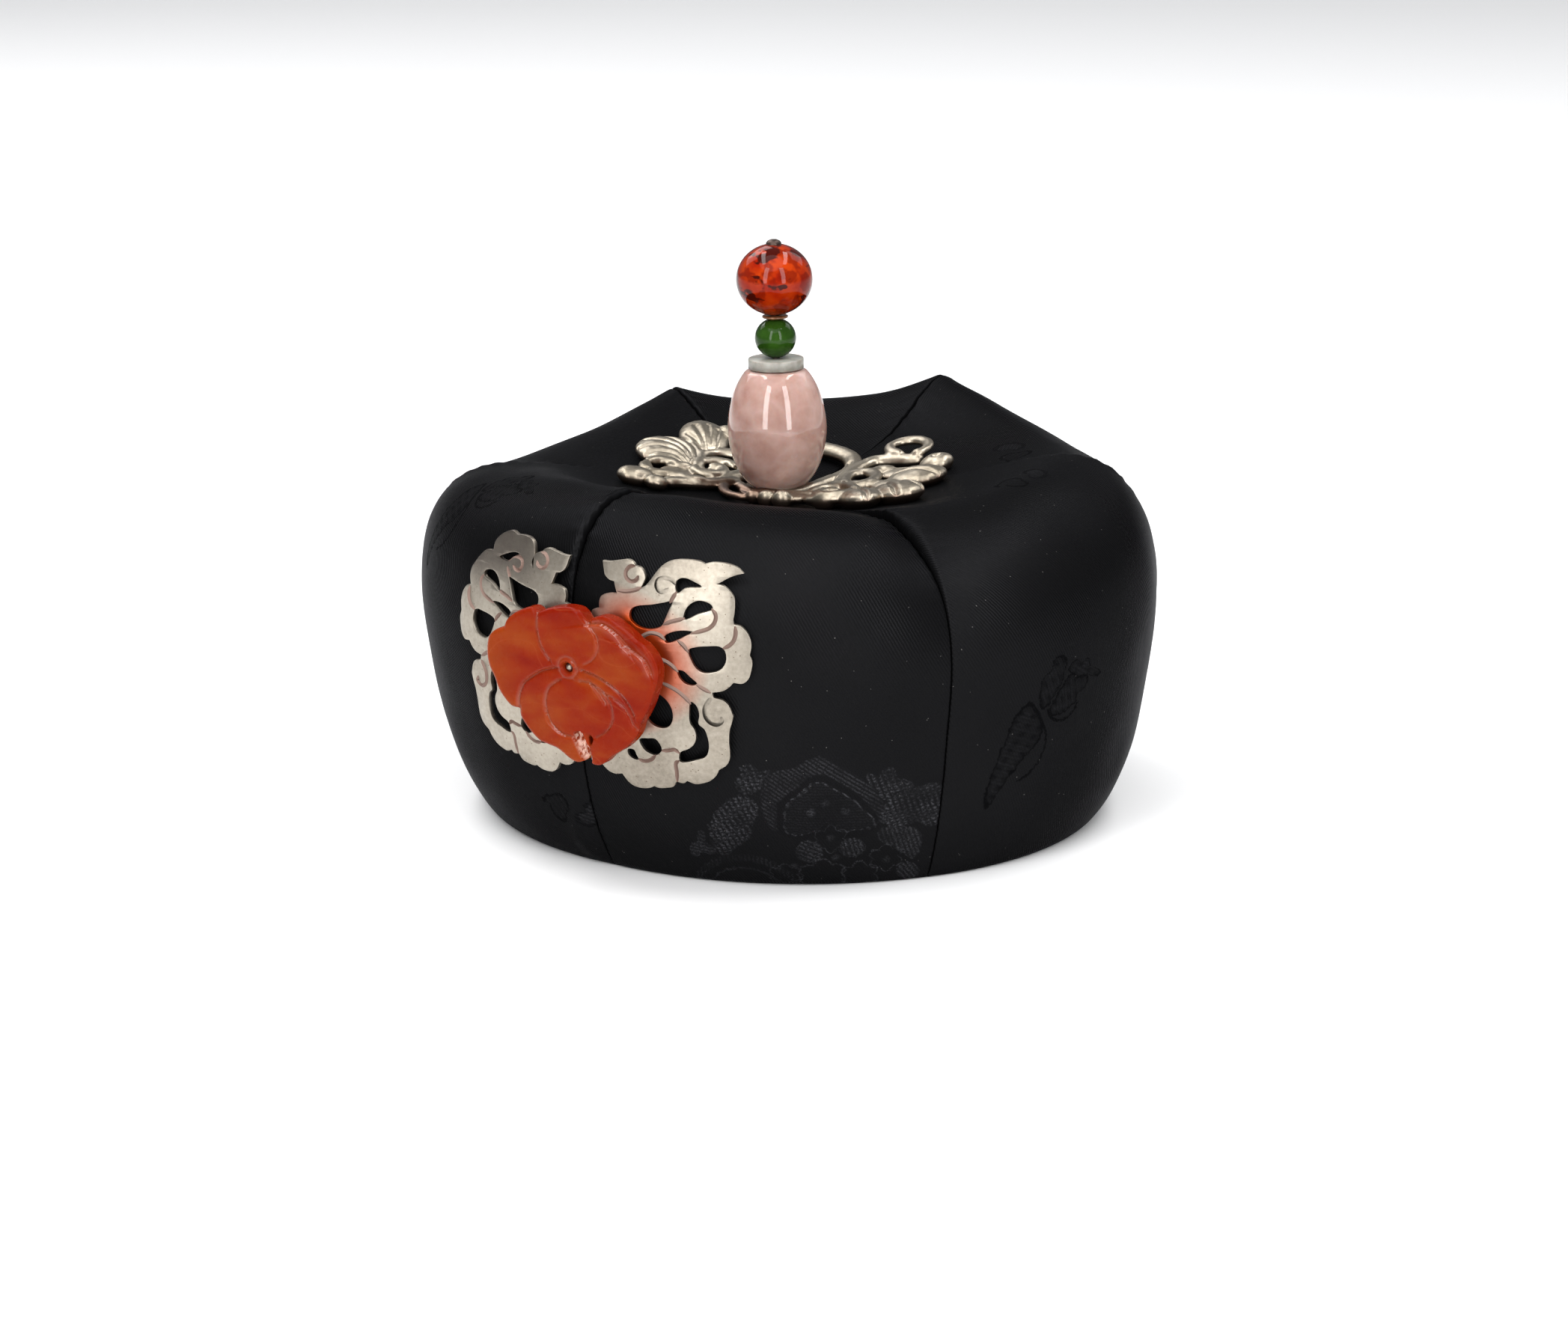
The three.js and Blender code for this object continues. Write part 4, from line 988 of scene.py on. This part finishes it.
# Cut lines from the pin hole's middle, with the depth of the cut and how far the stone is hollowed
# away beside it: on the right hand side of the line as it is drawn, or on the left where it is negative.
PETAL_CUTS = (
    (0.45, 0.45, ((-7.6, 10.8), (-7.7, 7.8), (-7.3, 5.8), (-6.6, 3.9), (-5.7, 2.6), (-4.4, 1.2))),
    (0.22, -0.30, ((4.8, 10), (6.9, 8.2), (7.6, 6.4), (7.4, 4.4), (6, 2.4), (4.3, 1.4))),
    (0.50, 0.50, ((3.4, 0), (5, -0.3), (7.7, -1), (10.3, -2.1), (12.7, -3.5), (14.5, -5.2), (15.8, -7.1),
                  (16.3, -8.1))),
    (0.35, 0.20, ((5.4, -2.3), (6.7, -3.6), (8.2, -5.1), (9.4, -6.6))),
    (0.30, 0.25, ((8.5, -4.1), (11, -4.9), (13.6, -6.4), (15, -8.3), (16.1, -10.3), (17.8, -12))),
    (0.50, -0.50, ((-3, -0.3), (-4, -0.6), (-6.7, -1.6), (-9.2, -3.1), (-11.2, -4.7), (-12.4, -6.6),
                   (-13, -8.9), (-13, -10.7))),
    (0.42, -0.35, ((-2.2, -2.9), (-3.3, -3.6), (-5.1, -5.3), (-5.9, -7.7), (-5.7, -10.1), (-4.8, -12.4),
                   (-3.3, -13.8), (-1.4, -14.8), (1, -15))),
    (0.42, 0.35, ((3, -2.4), (5.4, -2.6), (8, -3.6), (9.8, -5.4), (10.9, -7.6), (10.9, -10.2), (9.4, -12.6),
                  (7.1, -14.2))),
    (0.10, -0.8, ((5, 9.8), (7.8, 10.3), (10.2, 9.6), (12.6, 8), (14.4, 6))),
    (0.10, -0.8, ((14.8, 5.8), (16.6, 5.1), (18.8, 3.7), (20.1, 1.4))),
)
FLOWER_THICK, FLOWER_BACK = 4.8, 85.1


def from_line(x, z, points):
    """Distance of each place from a drawn line, and on which side of it the place lies."""
    line = smooth_line(points, 5)
    near, side = np.full(x.shape, 1e9), np.zeros(x.shape)
    for (ax, az), (bx, bz) in zip(line, line[1:]):
        dx, dz = bx - ax, bz - az
        share = np.clip(((x - ax) * dx + (z - az) * dz) / (dx * dx + dz * dz), 0, 1)
        gap = np.hypot(x - ax - share * dx, z - az - share * dz)
        closer = gap < near
        near = np.where(closer, gap, near)
        side = np.where(closer, np.sign((x - ax) * dz - (z - az) * dx), side)
    return near, side


def even_cells(shape, size, smooth_steps):
    """Remeshes a closed shape into even cells of the given size."""
    stock = stock_of(shape)
    remesh = stock.modifiers.new("cells", "REMESH")
    remesh.mode, remesh.voxel_size = "VOXEL", size
    smooth = stock.modifiers.new("smooth", "SMOOTH")
    smooth.factor, smooth.iterations = 0.5, smooth_steps
    return worked(stock)


def places_of(shape):
    """The x, y and z of all points of a bmesh, as three arrays."""
    return np.array([point.co for point in shape.verts]).T


def write_mark(shape, name, numbers):
    """Keeps a number on each point, for the material to read."""
    layer = shape.verts.layers.float.new(name)
    for point, number in zip(shape.verts, numbers):
        point[layer] = number


bloom = filled_sheet("bloom", [stroke_outline(FLOWER, 8), drill_hole(1.05)], FLOWER_THICK, 1.0, 3)
bloom = even_cells(bloom, 0.22, 1)
x, z, level = places_of(bloom)
front_face = fade_in(level, 0.6, 2.2)  # only this side is carved
fall = 0.05 * grain(x, z, 0 * x, 5)
line_cut, rim_polish = 0 * x, 0 * x
for depth, hollow, points in PETAL_CUTS:
    near, side = from_line(x, z, points)
    line_cut = line_cut + depth * np.exp(-(near / 0.32) ** 2)
    if depth < 0.2:
        rim_polish = rim_polish + 0.8 * np.exp(-(near / 0.8) ** 2)
    fall = fall - abs(hollow) * (side * hollow > 0) * np.exp(-near / 2.2)
# a ring round the hole, a slight fall towards the rim, and the chip at the low edge
hole = np.hypot(x, z)
line_cut = line_cut + 0.3 * hill(hole, 2.3, 0.35)
fall = fall - line_cut + 0.2 * hill(hole, 1.6, 0.5)
fall = fall - 0.0016 * (x * x + z * z)
chip, _ = from_line(x, z, ((2.4, -14.8), (3.2, -16.6), (4.4, -18.8)))
chipped = fade_in(-chip, -1.5, -1.1)
fall = fall - chipped * (1.5 + 0.25 * grain(x, z, 0 * x, 0.7))
for point, down in zip(bloom.verts, fall * front_face):
    point.co.z += down
TO_FRONT = Matrix(((1, 0, 0, 0), (0, 0, -1, 0), (0, 1, 0, 0), (0, 0, 0, 1)))
flower_place = FRONT @ Matrix.Translation((0, -FLOWER_BACK - FLOWER_THICK / 2, FLOWER_HEIGHT)) @ TO_FRONT

stone = Look("carnelian", Specular_IOR_Level=0.06, Subsurface_Weight=0.25, Subsurface_Scale=0.003,
             Coat_Roughness=0.12)
here = stone.place()
band = stone.cloud(stone.place(scale=(1, 1, 2.2), turn=(0, 0.35, 0)), 13, 3)
milk = stone.ramp(band, (0.33, rgb(112, 20, 4)), (0.5, rgb(120, 31, 6)), (0.68, rgb(128, 49, 13)))
vein = abs(stone.cloud(stone.place(scale=(1, 1, 1.6), turn=(0, 0.5, 0)), 18, 1) - 0.5) < 0.004
chip_mark, cut_mark = stone.mark("chip"), stone.mark("cut")
flaky = stone.cloud(stone.place(scale=(2, 1, 0.8)), 1.2, 3)
left_light = ((-6 - stone.millimetres(here, "X")[0]) / 12).kept()
milk = stone.mix(left_light * 0.7, milk, rgb(140, 66, 18))
skin = stone.mix(cut_mark * 0.35, stone.mix(vein * 0.18, milk, rgb(150, 78, 48)), rgb(150, 66, 36))
stone.feed("Base Color", stone.mix(chip_mark * ((flaky - 0.42) * 6).kept(), skin, rgb(214, 176, 160)))
stone.feed("Roughness", 0.2 + stone.cloud(here, 2, 3) * 0.14 + chip_mark * 0.3)
stone.feed("Coat Weight", cut_mark * 0.8)
stone.feed("Normal", stone.bump(stone.cloud(here, 0.7, 3), 0.02, 0.4))
write_mark(bloom, "chip", chipped * front_face)
write_mark(bloom, "cut", np.clip(line_cut * 2.2 + rim_polish, 0, 1) * (1 - chipped) * front_face)
flower = finish_piece("stone_flower", bloom, flower_place, stone.material)
settle(flower, "carnelian", "carnelian_flower")


# %% [markdown]
# ## Turned pieces: beads, pins and discs
# Anything round is turned: half of its outline is drawn, as a line of a few points, and spun about the
# upright. A subdivision modifier rounds the turned piece once more, so the outline needs few points.

# %% Turn
def turned(line, steps=48):
    """Spins a line of radius and height about the upright axis. A closed line gives a ring."""
    shape = bmesh.new()
    points = [shape.verts.new((r, 0, z)) for r, z in line]
    edges = [shape.edges.new(pair) for pair in zip(points, points[1:])]
    if line[0][0] > 0:
        edges.append(shape.edges.new((points[-1], points[0])))
    bmesh.ops.spin(shape, geom=points + edges, cent=(0, 0, 0), axis=(0, 0, 1), dvec=(0, 0, 0),
                   angle=math.tau, steps=steps, use_merge=True)
    return sealed(shape, 1e-4)


def rounded(piece, levels=2):
    """Rounds a turned piece once more."""
    soft = piece.modifiers.new("round", "SUBSURF")
    soft.levels = soft.render_levels = levels
    return piece


# %% [markdown]
# ## The column of beads
# All beads are threaded on one dark pin that ends in a low dome. The column leans a degree to the left,
# as it does in the photograph, so one matrix stands it up for every bead.

# %% Beads
LEAN_ANGLE, LEAN_WAY = math.radians(1.07), math.radians(215)
LEAN = Matrix.Rotation(LEAN_ANGLE, 4, Vector((-math.sin(LEAN_WAY), math.cos(LEAN_WAY), 0)))
COLUMN = CROWN @ Matrix.Translation(FINIAL) @ LEAN @ Matrix.Translation((0, 0, -DISH_CENTRE))
HOLE, LIP = 1.0, 0.15
VASE_LOW, VASE_HIGH = 71.9, 99.25
# share of the bead's height, and radius
VASE = ((0, 4.8), (0.015, 5.9), (0.06, 7.3), (0.14, 8.9), (0.235, 10.0), (0.33, 10.7), (0.42, 11.1),
        (0.51, 11.25), (0.6, 11.05), (0.7, 10.55), (0.8, 9.8), (0.89, 8.7), (0.96, 7.4), (1, 6.5))


def ball(radius, low, high, rings=14):
    """Outline of a round bead, from hole to hole."""
    start = math.asin((HOLE + LIP) / radius)
    turns = [start + (math.pi - 2 * start) * i / rings for i in range(rings + 1)]
    middle, half = (low + high) / 2, (high - low) / 2
    return [(radius * math.sin(t), middle - half * math.cos(t)) for t in turns]


def drilled(outer):
    """The outline with a straight hole for the pin."""
    low, high = outer[0][1], outer[-1][1]
    return [(HOLE, low), *outer, (HOLE, high)]


def disc(radius, low, high, edge):
    """Outline of a flat disc with broken edges."""
    return [(radius - edge, low), (radius, low + edge), (radius, high - edge), (radius - edge, high)]


quartz = Look("rose_quartz", Subsurface_Weight=0.35, Subsurface_Scale=0.004, Specular_IOR_Level=0.0,
              Coat_Weight=1.0, Coat_Roughness=0.03)
milk = quartz.cloud(quartz.place(), 9, 4, 0.6)
vein = quartz.ramp(abs(quartz.cloud(quartz.place(shift=(3, 1, 2)), 13, 2) - 0.5), (0.0, 1.0), (0.09, 0.0))
blush = quartz.ramp(milk, (0.34, rgb(150, 113, 102)), (0.5, rgb(167, 133, 122)), (0.66, rgb(179, 150, 141)))
quartz.feed("Base Color", quartz.mix(vein * 0.45, blush, rgb(190, 160, 151)))
quartz.feed("Roughness", 0.12 + milk * 0.1)

shell = Look("white_shell", Roughness=0.35, Subsurface_Weight=0.2, Subsurface_Scale=0.003)
patch = shell.cloud(shell.place(), 2.4, 3)
shell.feed("Base Color", shell.ramp(patch, (0.35, rgb(132, 130, 121)), (0.6, rgb(154, 152, 144))))

green = Look("jade", Roughness=0.06, Specular_IOR_Level=0.17)
leaf_green = green.ramp(green.cloud(green.place(), 4, 3), (0.35, rgb(30, 58, 12)), (0.65, rgb(42, 74, 20)))
# The rim is painted darker where the surface turns from the eye: painted shade.
green.feed("Base Color", green.mix(green.facing(0.4).math("POWER", 2.5), leaf_green, rgb(14, 26, 4)))

resin = Look("amber", Roughness=0.02, Specular_IOR_Level=0.16)
honey = resin.ramp(resin.cloud(resin.place(), 5, 2), (0.35, rgb(136, 24, 3)), (0.65, rgb(168, 52, 7)))
murk = resin.cloud(resin.place(shift=(5, 2, 1)), 3.6, 2)
honey = resin.mix(((murk - 0.5) * 14).kept() * 0.7, honey, rgb(104, 16, 3))
flake = resin.cloud(resin.place(scale=(1, 1, 1.7), turn=(0.5, 0.3, 0)), 4.2, 2, 0.5)
dark_top = ((resin.millimetres(resin.place(), "Z")[0] - 122) / 5).kept() * 0.1
# The rim is painted darker where the surface turns from the eye: painted shade.
honey = resin.mix(resin.facing(0.45).math("POWER", 2.2), honey, rgb(52, 6, 2))
resin.feed("Base Color", resin.mix(((flake + dark_top - 0.575) * 22).kept(), honey, rgb(58, 10, 4)))
dark_resin = Look("dark_amber", Roughness=0.3)
dark_resin.feed("Base Color", dark_resin.ramp(dark_resin.cloud(dark_resin.place(), 1, 2),
                                              (0.3, rgb(92, 56, 30)), (0.7, rgb(140, 96, 60))))
iron = Look("dark_metal", Metallic=1.0)
rust = iron.cloud(iron.place(), 1, 3)
iron.feed("Base Color", iron.ramp(rust, (0.3, rgb(58, 48, 44)), (0.7, rgb(90, 76, 70))))
iron.feed("Roughness", 0.35 + iron.cloud(iron.place(), 0.5, 2) * 0.2)

vase_line = [(radius, VASE_LOW + (VASE_HIGH - VASE_LOW) * share) for share, radius in VASE]
BEADS = (
    ("quartz_vase", "vase_bead", "rose_quartz", drilled(vase_line), quartz),
    ("shell_collar", "collar_disc", "white_shell", drilled(disc(6.25, 99.3, 101.5, 0.12)), shell),
    ("jade_ball", "jade_bead", "jade", drilled(ball(4.7, 101.55, 110.6)), green),
    ("resin_washer", "amber_washer", "dark_amber", drilled(disc(2.9, 110.65, 111.15, 0.1)), dark_resin),
    ("amber_ball", "amber_bead", "amber", drilled(ball(8.65, 111.2, 127.35)), resin),
)
for name, node, slot_name, line, look in BEADS:
    bead = finish_piece(name, turned(line), COLUMN, look.material, sharp=60)
    settle(rounded(bead) if len(line) > 8 else bead, slot_name, node)

BEAD_PIN = ((0, 64.2), (3.2, 64.2), (3.2, 65.2), (0.7, 65.3), (0.7, 127.1), (1.75, 127.15),
            (1.7, 127.5), (1.4, 127.9), (0.8, 128.2), (0, 128.3))
bead_pin = finish_piece("dark_bead_pin", turned(BEAD_PIN), COLUMN, iron.material, sharp=50)
settle(bead_pin, "dark_metal", "bead_pin")

FLOWER_PIN = ((0, 0), (2.4, 0), (2.4, 1.1), (0.85, 1.1), (0.85, 6.2), (0.7, 6.6), (0.35, 6.85), (0, 6.9))
PIN_FOOT_DEPTH = 1.5
pin_foot = Matrix.Translation((0, PIN_FOOT_DEPTH - SHEET_RADIUS, FLOWER_HEIGHT))
pin_place = FRONT @ pin_foot @ Matrix.Rotation(math.pi / 2, 4, "X")
flower_pin = finish_piece("silver_flower_pin", turned(FLOWER_PIN), pin_place, sheet_silver, sharp=50)
settle(flower_pin, "sheet_silver", "flower_pin")

# %% [markdown]
# ## The cast ornament on top
# This one was cast in one pour from a wax model: round strands that curl and cross, ribbed leaves and
# little knobs, all melted into each other. Tubes along smooth lines and flattened balls are laid out
# flat, joined, and remeshed into one skin, which fuses them as the casting did. The whole is then laid
# into the dish.

# %% Lay out the top ornament
# Strands in plan from the middle of the bead column, +y to the back: width, lift, points of the line.
STRANDS = (
    (4.3, 0.0, ((-9, 26.4), (-5.2, 26.2), (-1.4, 25.8), (3, 24.2), (6.6, 20.5), (8.4, 15.9), (8, 11.2),
                (7.2, 6.6), (6.4, 1.8), (3, -4), (-2, -8))),
    (4.4, 0.0, ((-9, 26.4), (-13, 22), (-13.4, 15), (-12.4, 8), (-12, 2), (-13, -4))),
    (4.0, 0.5, ((13.4, 1), (12.4, 7), (10.6, 13), (10.2, 18.6), (11.6, 22.4), (16, 23.8), (22.9, 24))),
    (2.7, 1.9, ((17.4, 24.2), (14, 25.2), (11.8, 27.8), (12.6, 31), (15.8, 32.6), (19.2, 31.6), (21.4, 28.8),
                (21.6, 25.8), (20, 24.4))),
    (3.0, 0.9, ((17, 3), (13, 7.6), (12, 12), (14.6, 14), (18.6, 11.6), (20.6, 7), (19.4, 3.4), (16.4, 4))),
    (3.4, 0.6, ((20, 17), (16.4, 16), (16.8, 12))),
    (4.0, 0.4, ((24, 6), (20, 4.6), (17, 0), (13, -3))),
    (3.6, 0.0, ((-18, -19.4), (-17.2, -16), (-15.2, -13), (-13.2, -9.6), (-11.6, -5.6), (-10.4, -1))),
    (3.4, 0.6, ((-28.6, -11.4), (-25.6, -15.6), (-22.6, -16.6), (-20.6, -14), (-18, -13), (-15.2, -12.6),
                (-13.2, -9.6))),
    (3.0, 0.9, ((-29, -11), (-28, -7.4), (-25.4, -6), (-23, -6.2), (-21.6, -4))),
    (3.2, 0.7, ((-20.4, -3.4), (-22.6, 0.6), (-24.8, 4.6), (-23.8, 8.4), (-20.6, 10.6), (-16, 11),
                (-12.6, 9))),
    (2.8, 1.0, ((-22, 1), (-20, 3.6), (-17.6, 4.6), (-14.6, 4))),
    (3.0, 0.8, ((-21, -3.4), (-18.4, -6), (-15.4, -5), (-14.6, -1.4), (-16.8, 1), (-19, -0.6))),
    (2.5, -0.3, ((-11.6, -3.4), (-9.6, -8), (-6.2, -11.6), (-2, -13.4), (1.6, -12.6))),
    (2.8, -0.3, ((-10, -1.4), (-7, -4), (-3, -5.4), (1.6, -6.8))),
    (3.0, -0.3, ((1.2, -12.4), (1.8, -9.6), (2.4, -7))),
    (3.0, 0.6, ((4, -6.4), (8, -7.6), (12.6, -8.2), (16.6, -7.8))),
    (3.0, 0.2, ((15.4, -11.6), (19, -12.8), (23, -12.6), (26.4, -11))),
    (2.8, 1.3, ((14, -8), (13.6, -3.6), (16.6, 0), (21, -1.6), (24.4, -6), (24.4, -11), (20.6, -12.6),
                (17.6, -10), (18, -6.4), (20.6, -6))),
    (3.0, 0.2, ((25, -11.4), (29, -9.6), (33, -7))),
)
# Leaves, knobs and the metal between them: middle, length, width, height and turn in degrees.
DROPS = (
    (-30.6, 0.8, 17, 17, 5.4, 154), (-31, 14, 17, 12, 5.6, 132), (-28, 19.5, 6.5, 6, 5, 0),
    (-24, -21.6, 9, 7, 4.6, 60), (-18.5, -21.4, 5.6, 4.6, 3.4, 60),
    (29, 12.4, 14, 13, 5.0, 20), (34.4, -3.4, 15, 11.5, 5.6, -33), (29, -10, 13, 9, 4.8, -40),
    (27.5, 23, 8, 7, 4.8, 20), (28, -10.6, 7.4, 4.6, 4.6, 35), (21, -12.6, 6.4, 4, 4.4, 0),
    (1.8, -12, 4.4, 3.2, 3.4, 40), (5.8, -12.8, 4.4, 3.6, 4.2, 30), (10, -13, 4.8, 4, 4.6, 10),
    (22, 16, 9, 7, 2.2, 20), (18.5, 0, 9, 6, 2.2, 0), (-22, -9, 8, 8, 2, 0), (-16, -3, 9, 8, 2, 0),
    (11, -9.8, 13, 6, 2.4, 0), (27, -3, 9, 8, 2.6, 0), (25.6, 6, 9, 8, 2.6, 0), (19, -9, 9, 9, 2.4, 0),
)
# Lines that the chaser cut into the wax: depth, half width, and points.
CHASED = (
    (1.4, 0.8, ((-25.8, -20.4), (-24.8, -17.6))), (1.1, 0.8, ((27.4, 22.8), (27.6, 23))),
    (0.6, 0.5, ((-33, -8), (-30.6, -4.6), (-27.6, -2.9), (-23.5, -2.8))),
    (0.6, 0.5, ((-35.4, -5), (-32.4, -2), (-28.8, -0.9), (-23.8, -1.8))),
    (0.6, 0.5, ((-37.4, -0.6), (-33.4, 1.2), (-29, 1.2), (-24, -0.8))),
    (0.6, 0.5, ((-38.4, 4.4), (-33, 4.6), (-28.7, 3.2), (-24.2, 0.2))),
    (0.6, 0.5, ((-37, 9.4), (-31.6, 7.8), (-27, 4.8), (-23.6, 1.2))),
    (0.45, 0.6, ((-33, 10.4), (-29.6, 9), (-25, 6.4))), (0.45, 0.6, ((-34, 14.6), (-30, 11.4), (-24.8, 6.8))),
    (0.45, 0.6, ((-32, 17), (-28.6, 12.8), (-24.4, 7.6))),
    (0.45, 0.6, ((-29, 16.8), (-26.8, 13), (-24, 8.2))),
    (0.7, 0.6, ((22, 10), (30, 12), (38, 11))), (0.6, 0.6, ((24, 14), (30, 17), (34.6, 19.6))),
    (0.7, 0.6, ((28, 0.6), (35, -1.6), (42, -3.4))), (0.7, 0.6, ((29, -1.6), (34.6, -6), (39, -10.4))),
    (0.6, 0.55, ((24.4, -6), (30, -10.6), (34.4, -15))), (0.5, 0.5, ((6.4, 19), (7.6, 15.9), (7.2, 11.2))),
)
CAST_HIGH, PRESSED = 2.8, 0.72  # thickness of the casting, and how flat its round strands are pressed
print(len(STRANDS), "strands,", len(DROPS), "drops of metal and", len(CHASED), "chased lines")


# %% Cast it
def drop(cast, x, y, long, wide, high, degrees):
    """Adds a flattened drop of metal."""
    place = (Matrix.Translation((x, y, 0)) @ Matrix.Rotation(math.radians(degrees), 4, "Z")
             @ Matrix.Diagonal((long / 2, wide / 2, high / 2, 1)))
    bmesh.ops.create_uvsphere(cast, u_segments=20, v_segments=12, radius=1, matrix=place)


strands = [(wide / 2, lift / PRESSED, line) for wide, lift, line in STRANDS]
casting = round_rods("strands", 1, strands, sides=4, cuts=6, thin_end=0.6, growth=0.14)
bmesh.ops.scale(casting, verts=casting.verts, vec=(1, 1, PRESSED))
for row in DROPS:
    drop(casting, *row)
bmesh.ops.create_cone(casting, cap_ends=True, segments=32, radius1=9, radius2=9, depth=1.1,
                      matrix=Matrix.Translation((0, 0, -0.8)))
casting = even_cells(casting, 0.32, 2)
x, y, up = places_of(casting)
fall = 0.12 * grain(x, y, up, 2.2)
for depth, half_width, points in CHASED:
    near, _ = from_line(x, y, points)
    fall = fall - depth * np.exp(-(near / half_width) ** 2)
# The mark holds the low parts and the chased hollows, where the colour of the silver paints shade.
write_mark(casting, "hollow", 1 - fade_in(up + 1.4 * fall, -0.5, 0.9))
for point, down in zip(casting.verts, fall * fade_in(up, -0.2, 1.2)):
    point.co.z += down


def dish_floor(x, y):
    """Height of the silk of the dish, with a little room above it."""
    share = min(1.1, math.hypot(x, y) / DISH_RADIUS)
    rim = dish_height(math.atan2(x, -y))
    return DISH_CENTRE + (rim - DISH_CENTRE) * share**1.42 + 0.35


for point in casting.verts:
    x, y, up = point.co
    share = math.hypot(x, y) / DISH_RADIUS
    point.co = (x + FINIAL.x, y + FINIAL.y,
                dish_floor(x + FINIAL.x * share, y + FINIAL.y * share) + up + CAST_HIGH / 2)


def hollow_shade_and_brown_patch(look, here, haze, metal):
    """Painted shade, darker and brown, in the low parts and the hollows, and a brown part in front of the
    beads.
    """
    x, y = look.millimetres(here, "XY")
    brown = ((1.3 - away((x + 5.5) / 9, (y + 6) / 7)) * 1.6).kept()
    metal = look.mix(brown * 0.8, metal, rgb(112, 84, 70))
    return look.mix(look.mark("hollow") * (0.5 + haze * 0.6), metal, rgb(104, 82, 70))


cast_silver = silver_look("cast_silver", rgb(168, 158, 142), rgb(124, 115, 100), 0.32, 0.06, hollow_shade_and_brown_patch)
top = finish_piece("cast_top_plate", casting, CROWN, cast_silver)
settle(top, "cast_silver", "top_plate")
